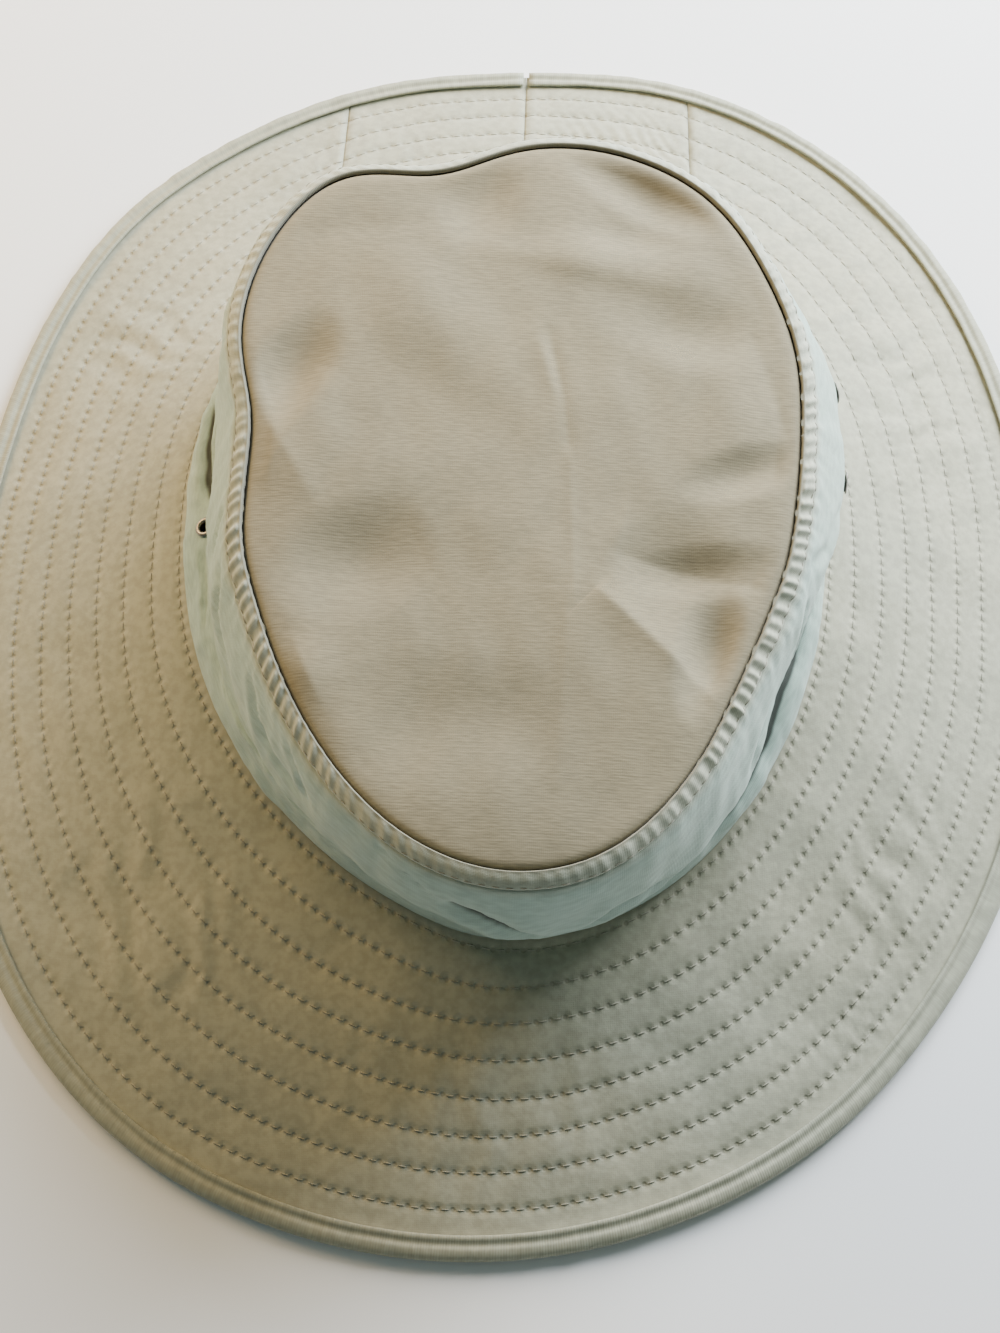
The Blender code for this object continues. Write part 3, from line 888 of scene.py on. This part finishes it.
# The edges that lie level are cut in two, so that the mesh is fine enough across an upright crease.
end_shares = share_of(wall_sheet)[edges_of(wall_sheet)]
select(wall_sheet, "edges", np.abs(end_shares[:, 0] - end_shares[:, 1]) < 0.006)
edit(wall_sheet, "EDGE")
bpy.ops.mesh.subdivide(number_cuts=1)
leave_edit()
wall_points = points_of(wall_sheet)
wall_share = share_of(wall_sheet)
lift = wall_relief(wall_points, wall_share) + pucker_relief(wall_points, wall_share)
# The record "fold" is painted shade at the bottoms of the creases.
write_record(wall_sheet, "fold", crease_depths(wall_points, wall_share)[0])
wall_points += normals_of(wall_sheet) * lift[:, None]
move_points(wall_sheet, wall_points)

# %% [markdown]
# ## Eyelet holes
# On the real hat a hole is punched first and the eyelet is pressed round it, which flattens the
# cloth.  A boolean would leave thin triangles, so here the few faces at the middle are deleted
# and the rim that is left is drawn onto a circle.


# %% Cut the eyelet holes
flat_reach = 0.0075
flat_fade = 0.0045
hole_radius = 0.00205
hole_cut = 0.0019
hole_search = 0.004
hole_depth = 0.003


def eyelet_frame(node):
    """Place and axis of a turned solid: along its axis it spreads unlike the two other ways."""
    points = np.array([v.co for v in frame["nodes"][node].data.vertices])
    middle = points.mean(0)
    spread, ways = np.linalg.eigh(np.cov((points - middle).T))
    gaps = [abs(spread[0] - spread[1]), abs(spread[1] - spread[2])]
    axis = ways[:, 0] if gaps[0] > gaps[1] else ways[:, 2]
    if axis @ (middle - np.array([*hat_middle, middle[2]])) < 0:
        axis = -axis
    turn = Vector(axis).to_track_quat("Z", "Y").to_matrix().to_4x4()
    return Matrix.Translation(Vector(middle)) @ turn, middle, axis


def from_axis(points, middle, axis):
    """Distance of points from an eyelet's axis, their height along it, and the way out from it."""
    away = np.array(points) - middle
    height = away @ axis
    sideways = away - height[:, None] * axis
    return np.linalg.norm(sideways, axis=1), height, sideways


wall_points = points_of(wall_sheet)
for node in eyelet_nodes:
    place, middle, axis = eyelet_frame(node)
    reach, height, sideways = from_axis(wall_points, middle, axis)
    hold = np.clip((flat_reach - reach) / flat_fade, 0.0, 1.0)
    hold *= np.abs(height) < eyelet_room
    wall_points += axis * ((crown_cloth / 2 - height) * hold)[:, None]
move_points(wall_sheet, wall_points)
for node in eyelet_nodes:
    place, middle, axis = eyelet_frame(node)
    centres = [tuple(face.center) for face in wall_sheet.data.polygons]
    reach, height, sideways = from_axis(centres, middle, axis)
    delete_faces(wall_sheet, (reach < hole_cut) & (np.abs(height) < hole_depth))
    wall_points = points_of(wall_sheet)
    reach, height, sideways = from_axis(wall_points, middle, axis)
    rim = border_points(wall_sheet) & (reach < hole_search) & (np.abs(height) < hole_depth)
    wall_points[rim] += sideways[rim] * (hole_radius / reach[rim] - 1.0)[:, None]
    move_points(wall_sheet, wall_points)
    print(node, "hole has", int(rim.sum()), "points on its rim")

# %% [markdown]
# ## Thread of the strip, and thickness of the wall
# A row of smaller stitches holds the strip down, close to its lower edge.  They are laid before
# the cloth gets its thickness, while that edge is still an open border that is easy to find.


# %% Thread of the strip
strip_stitch = 0.0028
strip_stitch_scale = 0.82
strip_lean = 0.6
stitch_inset = 0.0006
look_from = 0.01


def strip_faces(turn):
    """The way that the strip faces, out and partly up, from its direction in radians."""
    return Vector((math.sin(turn), -math.cos(turn), strip_lean)).normalized()


def towards_strip(middle):
    return -strip_faces(math.radians(float(directions(np.array([middle]), tip_middle)[0])))


lower_rim = border_points(strip) & (share_of(strip) < 0.95)
stitch_line = Ring(points_of(strip)[lower_rim], tip_middle)
strip_tree = tree_of(strip)
strip_lines = []
strip_count = 2 * round(stitch_line.length_to(180.0) / strip_stitch / 2)
for i in range(strip_count):
    turn = (i + 0.5) / strip_count * 360.0 - 180.0
    first, second = stitch_line.point(np.array([turn, turn + 0.5]))
    out = strip_faces(math.radians(turn))
    middle = Vector(first) + Vector((-out.x, -out.y, 0.5)) * stitch_inset + out * look_from
    strip_lines.append((strip_tree, middle, Vector(second - first).normalized()))
strip_thread = sew("strip_stitches", towards_strip, strip_lines, strip_stitch_scale)

# %% Thickness of the wall
for sheet in (wall_sheet, strip):
    round_wall, up_wall = wall_places(points_of(sheet), share_of(sheet))
    lay_map(sheet, "cloth", round_wall, up_wall, math.tau * wall_radius)
    thicken(sheet, crown_cloth)

# %% [markdown]
# ## Tip panel
# An egg-shaped panel of ribbed cloth, sewn in all round.  The solid closes it with a fan of
# triangles in the middle, which would pinch when smoothed, so a square grid fills that place and
# is laid back on the solid.

# %% Shape the tip
tip_rings_kept = 8
tip_grid_reach = 0.050
tip = outer_sheet("crown_tip", "tip_panel", crown_cloth, height_of_normal)
tip_solid = tree_of(tip)
tip_rank = ranks_from(tip, border_points(tip))
face_rank = np.array([tip_rank[list(face.vertices)].max() for face in tip.data.polygons])
delete_faces(tip, face_rank > tip_rings_kept)
ring_total = len(tip.data.vertices)
middle_rim = border_points(tip) & (radii(points_of(tip), tip_middle) < tip_grid_reach)
select(tip, "vertices", middle_rim)
edit(tip, "VERT")
bpy.ops.mesh.fill_grid(span=16)
leave_edit()
tip_points = points_of(tip)
for i in range(ring_total, len(tip_points)):
    above = Vector((tip_points[i, 0], tip_points[i, 1], 0.2))
    tip_points[i, 2] = tip_solid.ray_cast(above, Vector((0.0, 0.0, -1.0)))[0].z
move_points(tip, tip_points)
refine(tip, 3)

# %% [markdown]
# ## Press lines and dents of the tip
# Cloth that has been folded keeps faint sharp lines, and cloth that hangs free sags into soft
# dents.  They are few and each has its own place, so both are tables and no random field.

# %% Press lines and small dents of the tip
# A press line has a sharp crest (height above 0) or a sharp bottom (below 0).
PressLine = namedtuple("PressLine", "x0 y0 x1 y1 height width")
press_lines = [
    PressLine(0.0085, 0.0310, 0.0128, 0.0128, -0.00070, 0.0018),
    PressLine(0.0062, 0.0290, 0.0105, 0.0130, 0.00050, 0.0022),
    PressLine(0.0128, 0.0128, 0.0145, -0.0010, -0.00040, 0.0016),
    PressLine(0.0145, -0.0010, 0.0165, -0.0390, 0.00035, 0.0022),
    PressLine(0.0150, -0.0360, 0.0140, -0.0850, 0.00070, 0.0090),
    PressLine(0.0216, -0.0360, 0.0500, -0.0620, 0.00190, 0.0060),
    PressLine(0.0264, -0.0267, 0.0660, -0.0350, -0.00110, 0.0050),
    PressLine(-0.0620, 0.0120, -0.0450, -0.0160, 0.00080, 0.0050),
    PressLine(-0.0590, -0.0130, -0.0430, 0.0180, 0.00070, 0.0050),
    PressLine(-0.0110, 0.0545, 0.0400, 0.0435, 0.00070, 0.0045),
    PressLine(-0.0540, 0.0560, -0.0200, 0.0610, -0.00050, 0.0045),
    PressLine(0.0580, 0.0330, 0.0690, -0.0020, -0.00080, 0.0050),
]
# A dent is a soft hollow (depth above 0) or swelling, longer one way than the other.
TipDent = namedtuple("TipDent", "x y reach_along reach_across heading depth")
tip_dents = [
    TipDent(-0.0520, 0.0185, 0.0190, 0.0110, 20, 0.0030),
    TipDent(-0.0355, -0.0310, 0.0220, 0.0170, 60, 0.0024),
    TipDent(0.0480, -0.0500, 0.0200, 0.0090, 12, 0.0042),
    TipDent(0.0480, -0.0300, 0.0240, 0.0080, 82, 0.0014),
    TipDent(0.0567, -0.0045, 0.0190, 0.0080, 70, 0.0019),
    TipDent(0.0323, 0.0705, 0.0260, 0.0090, 118, 0.0024),
    TipDent(0.0260, 0.0510, 0.0300, 0.0100, 95, -0.0014),
    TipDent(0.0430, 0.0330, 0.0240, 0.0130, 100, 0.0017),
    TipDent(-0.0200, 0.0330, 0.0300, 0.0160, 140, -0.0014),
    TipDent(-0.0100, -0.0700, 0.0300, 0.0200, 90, 0.0015),
    TipDent(-0.0480, -0.0620, 0.0160, 0.0120, 30, -0.0014),
]
tip_swells = [Swell(0.00035, 0.034, 31), Swell(0.00010, 0.013, 32)]


def along_line(points, line):
    """Distance of each point from a short straight line, and the share along it."""
    start = np.array([line.x0, line.y0])
    run = np.array([line.x1, line.y1]) - start
    length = np.linalg.norm(run)
    away = points[:, :2] - start
    share = np.clip(away @ run / length ** 2, 0.0, 1.0)
    return np.linalg.norm(away - share[:, None] * run, axis=1), share


def inside_seam(points):
    """Distance of points from the tip's seam, towards the middle."""
    return groove_line.at(directions(points, tip_middle)) - radii(points, tip_middle)


def tip_relief(points):
    """Swelling, ribs beside the seam, press lines and dents, and the pull of the seam itself."""
    inside = inside_seam(points)
    turn = directions(points, tip_middle)
    ribs = pucker_ribs(groove_line.length_to(turn) / groove_line.length_to(180.0))
    edge = window((inside - 0.0035) / 0.0035) * (inside > 0)
    relief = soft_relief(points[:, 0], points[:, 1], tip_swells)
    relief += 0.00012 * gathered(turn) * ribs * edge
    for line in press_lines:
        distance, share = along_line(points, line)
        ends = 0.35 + 0.65 * np.sqrt(np.clip(4.0 * share * (1.0 - share), 0.0, 1.0))
        relief += line.height * np.exp(-np.hypot(distance, 0.0004) / line.width) * ends
    for dent in tip_dents:
        sine, cosine = math.sin(math.radians(dent.heading)), math.cos(math.radians(dent.heading))
        right, back = (points[:, :2] - (dent.x, dent.y)).T
        along = (right * sine + back * cosine) / dent.reach_along
        across = (right * cosine - back * sine) / dent.reach_across
        relief -= dent.depth * window(np.hypot(along, across))
    relief *= np.clip((inside - 0.0012) / 0.005, 0.0, 1.0)
    return relief - 0.0006 * window(inside / 0.0013)


tip_points = points_of(tip)
# The tip's record "fold" is painted shade in the groove of its seam.
write_record(tip, "fold", window(np.maximum(inside_seam(tip_points), 0.0) / 0.0009))
tip_points += normals_of(tip) * tip_relief(tip_points)[:, None]
move_points(tip, tip_points)
thicken(tip, crown_cloth)

# %% [markdown]
# ## Edge binding
# A folded tape holds the brim's raw edge.  Its inner edge is pressed down on the quilting, where
# the solid leaves a small gap, and it ripples a little from stitch to stitch.

# %% Shape the binding
tape_radius = 0.159
tape_top = 0.0030
tape_step = 0.00042
pressed_tape = 0.0009
tape_ripples = [Swell(0.00012, 0.0075, 41), Swell(0.00006, 0.003, 42)]
refine(binding, 3)
binding_points = points_of(binding)
tape_turn = directions(binding_points)
inset = radii(binding_points) - tape_line.at(tape_turn)
on_top = binding_points[:, 2] > tape_top
tape_along = np.radians(tape_turn) * tape_radius
fold_up = 0.00022 * window((inset - 0.0004) / 0.0010)
seam_down = 0.00055 * window((inset - 0.0019) / 0.0013)
binding_points[:, 2] += (fold_up - seam_down) * on_top
ripple = soft_relief(tape_along, inset, tape_ripples)
binding_points += normals_of(binding) * (ripple * on_top)[:, None]
move_points(binding, binding_points)
tape_rank = ranks_from(binding, border_points(binding) & on_top & (inset < 0.0015))
lay_map(binding, "cloth", tape_along, tape_rank * tape_step, math.tau * tape_radius)
thicken(binding, pressed_tape)

# %% [markdown]
# ## Eyelets
# Small pressed rings of nickelled brass: a domed flange outside, a barrel through the cloth and a
# washer inside.  A lathe modifier could turn the profile too, but extruding and scaling a circle
# from one table row to the next shows each step.

# %% Turn one eyelet
LathePoint = namedtuple("LathePoint", "radius height")
eyelet_profile = [
    LathePoint(0.00140, -0.00060), LathePoint(0.00140, 0.00075), LathePoint(0.00152, 0.00122),
    LathePoint(0.00185, 0.00150), LathePoint(0.00225, 0.00150), LathePoint(0.00262, 0.00130),
    LathePoint(0.00280, 0.00108), LathePoint(0.00262, 0.00100), LathePoint(0.00190, 0.00098),
    LathePoint(0.00188, -0.00098), LathePoint(0.00270, -0.00104), LathePoint(0.00276, -0.00124),
    LathePoint(0.00225, -0.00150), LathePoint(0.00152, -0.00140),
]
bpy.ops.object.select_all(action="DESELECT")
bpy.ops.mesh.primitive_circle_add(vertices=40, radius=eyelet_profile[0].radius,
                                  location=(0.0, 0.0, eyelet_profile[0].height))
eyelet_ring = bpy.context.object
bpy.ops.object.transform_apply(location=True, rotation=True, scale=True)
edit(eyelet_ring, "EDGE")
bpy.ops.mesh.select_all(action="SELECT")
for before, after in zip(eyelet_profile, eyelet_profile[1:]):
    rise = (0.0, 0.0, after.height - before.height)
    bpy.ops.mesh.extrude_region_move(TRANSFORM_OT_translate={"value": rise})
    grow = after.radius / before.radius
    bpy.ops.transform.resize(value=(grow, grow, 1.0), center_override=(0.0, 0.0, after.height))
leave_edit()
select(eyelet_ring, "vertices", border_points(eyelet_ring))
edit(eyelet_ring, "VERT")
bpy.ops.mesh.select_mode(type="EDGE")
bpy.ops.mesh.bridge_edge_loops()
bpy.ops.mesh.select_all(action="SELECT")
bpy.ops.mesh.remove_doubles(threshold=0.000001)
bpy.ops.mesh.normals_make_consistent(inside=False)
leave_edit()
refine(eyelet_ring, 1)
open_edges = int(border_points(eyelet_ring).sum())
print("eyelet ring:", len(eyelet_ring.data.polygons), "faces, open edges", open_edges)

# %% [markdown]
# ## The four eyelets
# All four are the same part, so one is made and copied.  Each copy gets its own mesh, and the
# place and axis that are read from its solid.

# %% Set the eyelets in their places
eyelet_pieces = []
for node in eyelet_nodes:
    ring = bpy.data.objects.new(node + "_ring", eyelet_ring.data.copy())
    bpy.context.scene.collection.objects.link(ring)
    place, middle, axis = eyelet_frame(node)
    ring.data.transform(place)
    ring.data.name = ring.name
    eyelet_pieces.append(ring)
    print(node, "at", np.round(middle * 1000, 1), "mm, facing", np.round(axis, 2))
bpy.data.objects.remove(eyelet_ring)

# %% [markdown]
# ## Cloth finishes
# Colour, weave and needle holes are worked out by nodes from the piece's own coordinates, so they
# stay on the cloth from every side.  The threads of the weave are bump: they are half a millimetre
# apart, far finer than the mesh.


# %% A kit of nodes
class Finish:
    """A material with a few shorthands for adding nodes to it."""

    def __init__(self, name, roughness):
        self.material = bpy.data.materials.new(name)
        self.material.use_nodes = True
        self.nodes = self.material.node_tree.nodes
        self.links = self.material.node_tree.links
        self.shader = self.nodes["Principled BSDF"]
        self.shader.inputs["Roughness"].default_value = roughness
        self.object_place = self.nodes.new("ShaderNodeTexCoord").outputs["Object"]

    def join(self, source, target):
        """Put a number, a colour or another node's result into an input."""
        if isinstance(source, (int, float, tuple)):
            target.default_value = source
        else:
            self.links.new(source, target)

    def math(self, operation, a, b=0.0):
        node = self.nodes.new("ShaderNodeMath")
        node.operation = operation
        self.join(a, node.inputs[0])
        self.join(b, node.inputs[1])
        return node.outputs[0]

    def times(self, a, b):
        return self.math("MULTIPLY", a, b)

    def total(self, first, *others):
        for other in others:
            first = self.math("ADD", first, other)
        return first

    def map(self, name):
        node = self.nodes.new("ShaderNodeUVMap")
        node.uv_map = name
        return node.outputs[0]

    def record(self, name):
        """A number that was kept for each point of the piece."""
        node = self.nodes.new("ShaderNodeAttribute")
        node.attribute_name = name
        return node.outputs["Fac"]

    def noise(self, place, scale, detail=3.0):
        """Random grey; a tuple as scale stretches it."""
        if isinstance(scale, tuple):
            stretch = self.nodes.new("ShaderNodeMapping")
            self.join(place, stretch.inputs["Vector"])
            stretch.inputs["Scale"].default_value = scale
            place, scale = stretch.outputs[0], 1.0
        node = self.nodes.new("ShaderNodeTexNoise")
        self.join(place, node.inputs["Vector"])
        node.inputs["Scale"].default_value = scale
        node.inputs["Detail"].default_value = detail
        return node.outputs["Fac"]

    def threads(self, place, axis, pitch, distortion=0.6):
        """Parallel threads across an axis, with a pitch in metres."""
        node = self.nodes.new("ShaderNodeTexWave")
        node.bands_direction = axis
        self.join(place, node.inputs["Vector"])
        node.inputs["Scale"].default_value = math.tau / 20.0 / pitch
        node.inputs["Distortion"].default_value = distortion
        node.inputs["Detail"].default_value = 2.0
        node.inputs["Detail Scale"].default_value = 0.35
        return node.outputs["Fac"]

    def ramp(self, value, low, high, start, end):
        """Soft step from start, where a value is low, to end, where it is high."""
        node = self.nodes.new("ShaderNodeMapRange")
        node.interpolation_type = "SMOOTHSTEP"
        self.join(value, node.inputs["Value"])
        node.inputs["From Min"].default_value = low
        node.inputs["From Max"].default_value = high
        node.inputs["To Min"].default_value = start
        node.inputs["To Max"].default_value = end
        return node.outputs["Result"]

    def blend(self, share, first, second, mode="MIX"):
        node = self.nodes.new("ShaderNodeMix")
        node.data_type = "RGBA"
        node.blend_type = mode
        self.join(share, node.inputs["Factor"])
        self.join(first, node.inputs[6])
        self.join(second, node.inputs[7])
        return node.outputs[2]

    def painted_fold_shade(self, low, high, most):
        """Painted shade of a fold, from the piece's own record of its folds."""
        return self.ramp(self.record("fold"), low, high, 0.0, most)

    def wear(self, colour, height=None, sheen=0.0, sheen_roughness=0.5):
        """Set colour, relief in metres, and the soft light of fibres at grazing angles."""
        self.join(colour, self.shader.inputs["Base Color"])
        if height is not None:
            node = self.nodes.new("ShaderNodeBump")
            node.inputs["Distance"].default_value = 1.0
            self.join(height, node.inputs["Height"])
            self.join(node.outputs["Normal"], self.shader.inputs["Normal"])
        self.shader.inputs["Sheen Weight"].default_value = sheen
        self.shader.inputs["Sheen Roughness"].default_value = sheen_roughness
        print("finish:", self.material.name, "with", len(self.nodes), "nodes")

    def coat(self, piece, slot):
        piece.data.materials.clear()
        piece.data.materials.append(self.material)


# %% Weave colour shared by the cloths
def woven_colour(finish, base, second, thread_light, place, slub_scale):
    """Cloth colour: slow fading between two tones, and slubs along the threads."""
    slow = finish.ramp(finish.noise(finish.object_place, 22.0, 4.0), 0.35, 0.68, 0.0, 1.0)
    colour = finish.blend(slow, (*base, 1.0), (*second, 1.0))
    slub = finish.ramp(finish.noise(place, slub_scale), 0.3, 0.7, 0.88, 1.07)
    shade = finish.times(slub, thread_light)
    combined = finish.nodes.new("ShaderNodeCombineColor")
    for channel in range(3):
        finish.join(shade, combined.inputs[channel])
    return finish.blend(1.0, colour, combined.outputs[0], "MULTIPLY")


# %% [markdown]
# ## Brim cloth
# Plain weave in a greyish khaki.  Where the needle went in there is a small hole, darkened with
# painted shade, and the cloth round it is drawn down.  The map "rows" counts stitches along a row,
# so a repeating node puts a hole at every stitch without any of them being modelled.


# %% Quilted brim cloth
def quilted_cloth():
    finish = Finish("quilted_cloth", 0.86)
    place = finish.object_place
    weave = finish.math("MAXIMUM", finish.threads(place, "X", 0.00046),
                        finish.threads(place, "Y", 0.00042))
    rows = finish.nodes.new("ShaderNodeSeparateXYZ")
    finish.join(finish.map("rows"), rows.inputs[0])
    along = finish.times(finish.math("PINGPONG", rows.outputs[0], 0.5), stitch * 1000.0)
    across = rows.outputs[1]
    squares = finish.total(finish.times(along, along), finish.times(across, across))
    hole_distance = finish.math("SQRT", squares)
    hole = finish.ramp(hole_distance, 0.25, 0.85, 1.0, 0.0)
    pull = finish.ramp(hole_distance, 0.2, 2.0, 1.0, 0.0)
    weave_light = finish.ramp(weave, 0.2, 1.0, 0.975, 1.01)
    colour = woven_colour(finish, (0.375, 0.362, 0.262), (0.349, 0.344, 0.255), weave_light,
                          place, (420.0, 420.0, 420.0))
    # Painted shade in each needle hole.
    colour = finish.blend(finish.times(hole, 0.30), colour, (0.120, 0.100, 0.065, 1.0))
    height = finish.total(finish.times(weave, 0.000012),
                          finish.times(finish.noise(place, 900.0), 0.00006),
                          finish.times(hole, -0.00016), finish.times(pull, -0.00020))
    finish.wear(colour, height, 0.12)
    return finish


brim_finish = quilted_cloth()

# %% [markdown]
# ## Tip cloth
# The top panel is a warmer khaki with fine ribs that run across the hat.  Ribs this fine would
# need millions of faces, so they are a wave texture, a little distorted so that they waver.


# %% Ribbed tip cloth
def ribbed_cloth():
    finish = Finish("ribbed_cloth", 0.88)
    place = finish.object_place
    rib_stretch = (330.0, 1500.0, 300.0)
    ribs = finish.threads(place, "Y", 0.00068, 3.0)
    warp = finish.threads(place, "X", 0.00045, 0.5)
    rib_light = finish.ramp(ribs, 0.1, 0.9, 0.98, 1.01)
    colour = woven_colour(finish, (0.266, 0.227, 0.142), (0.246, 0.214, 0.138), rib_light,
                          place, rib_stretch)
    # Painted shade in the groove of the seam round the tip.
    colour = finish.blend(finish.painted_fold_shade(0.25, 0.8, 0.85), colour, (0.055, 0.048, 0.034, 1.0))
    height = finish.total(finish.times(ribs, 0.00001), finish.times(warp, 0.000008),
                          finish.times(finish.noise(place, rib_stretch), 0.00006))
    finish.wear(colour, height, 0.10)
    return finish


tip_finish = ribbed_cloth()

# %% [markdown]
# ## Side cloth
# The wall is a thinner cloth than the brim's.  Its sage green is a painted reflection of cool light
# from the front, and its strip keeps the cloth's khaki.  One material serves both: the record "share"
# says how far up a point lies, and the record "fold" paints shade at the bottoms of the creases,
# where little light gets in.  Painted shade also dims the strip's top rim.


# %% Plain side cloth
def plain_cloth():
    finish = Finish("plain_cloth", 0.84)
    place = finish.map("cloth")
    slub_stretch = (300.0, 900.0, 1.0)
    weave = finish.math("MAXIMUM", finish.threads(place, "X", 0.00042),
                        finish.threads(place, "Y", 0.00046))
    weave_light = finish.ramp(weave, 0.2, 1.0, 0.94, 1.02)
    # The wall's sage green is a painted reflection of cool light from the front; the strip keeps the
    # khaki.
    colour = woven_colour(finish, (0.385, 0.480, 0.405), (0.345, 0.455, 0.395), weave_light,
                          place, slub_stretch)
    strip_colour = woven_colour(finish, (0.440, 0.420, 0.310), (0.410, 0.400, 0.300), weave_light,
                                place, slub_stretch)
    share = finish.record("share")
    colour = finish.blend(finish.ramp(share, 0.86, 0.93, 0.0, 0.75), colour, strip_colour)
    # Painted shade on the strip's top rim, which dims the light that its upturned edge catches.
    rim_painted_shade = finish.ramp(share, 0.975, 1.0, 0.0, 0.65)
    colour = finish.blend(rim_painted_shade, colour, (0.165, 0.150, 0.105, 1.0))
    # Painted shade at the bottoms of the creases.
    colour = finish.blend(finish.painted_fold_shade(0.25, 0.75, 0.96), colour, (0.022, 0.024, 0.019, 1.0))
    height = finish.total(finish.times(weave, 0.00003),
                          finish.times(finish.noise(place, 800.0), 0.00005))
    finish.wear(colour, height, 0.15, 0.45)
    return finish


side_finish = plain_cloth()

# %% [markdown]
# ## Tape, thread and metal
# The tape has ribs across it, the thread a faint twist, and the eyelets are dull nickel with
# worn patches.  They are small in the picture, so two tones and one noise each are enough.


# %% Binding tape
def folded_tape():
    finish = Finish("folded_tape", 0.80)
    place = finish.map("cloth")
    ribs = finish.threads(place, "X", 0.00060)
    rib_light = finish.ramp(ribs, 0.1, 0.9, 0.96, 1.02)
    colour = woven_colour(finish, (0.350, 0.345, 0.255), (0.322, 0.325, 0.242), rib_light,
                          place, (900.0, 200.0, 1.0))
    finish.wear(colour, finish.times(ribs, 0.00003), 0.10)
    return finish


tape_finish = folded_tape()


# %% Sewing thread and eyelet metal
def two_tones(finish, scale, detail, low, first, second):
    """Patches of two colours, from one noise."""
    patches = finish.noise(finish.object_place, scale, detail)
    share = finish.ramp(patches, low, 0.7, 0.0, 1.0)
    return finish.blend(share, (*first, 1.0), (*second, 1.0))


thread_finish = Finish("sewing_thread", 0.60)
thread_colour = two_tones(thread_finish, 2500.0, 2.0, 0.3, (0.240, 0.228, 0.168), (0.296, 0.284, 0.216))
thread_finish.wear(thread_colour, sheen=0.2)

metal_finish = Finish("nickel", 0.34)
metal_finish.shader.inputs["Metallic"].default_value = 1.0
dullness = metal_finish.ramp(metal_finish.noise(metal_finish.object_place, 1500.0), 0.3, 0.7, 0.26, 0.5)
metal_finish.join(dullness, metal_finish.shader.inputs["Roughness"])
metal_colour = two_tones(metal_finish, 700.0, 4.0, 0.35, (0.315, 0.292, 0.255), (0.165, 0.150, 0.128))
metal_finish.wear(metal_colour)

# %% [markdown]
# ## Put the finished pieces in place of the solids
# Each piece is listed with its finish, a slot name and the solids it stands for, which are hidden.
# Nothing on a cloth hat turns or slides, so there is one body, and every piece is attached to it.

# %% Bind the pieces to the frame
bindings = [
    (brim_pieces[0], brim_finish, "brim_cloth", ["brim_front"]),
    (brim_pieces[1], brim_finish, "brim_cloth", ["brim_back_left"]),
    (brim_pieces[2], brim_finish, "brim_cloth", ["brim_back_right"]),
    (binding, tape_finish, "binding_tape", ["brim_binding"]),
    (wall_sheet, side_finish, "side_cloth", ["crown_side"]),
    (strip, side_finish, "side_cloth", ["crown_side"]),
    (tip, tip_finish, "tip_cloth", ["crown_tip"]),
    (brim_thread, thread_finish, "brim_cloth", []),
    (strip_thread, thread_finish, "side_cloth", []),
]
for node, ring in zip(eyelet_nodes, eyelet_pieces):
    bindings.append((ring, metal_finish, "eyelet_metal", [node]))
for piece, finish, slot, solids in bindings:
    finish.coat(piece, slot)
    for face in piece.data.polygons:
        face.use_smooth = True
    if solids:
        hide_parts(*solids)
    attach(piece, "root")
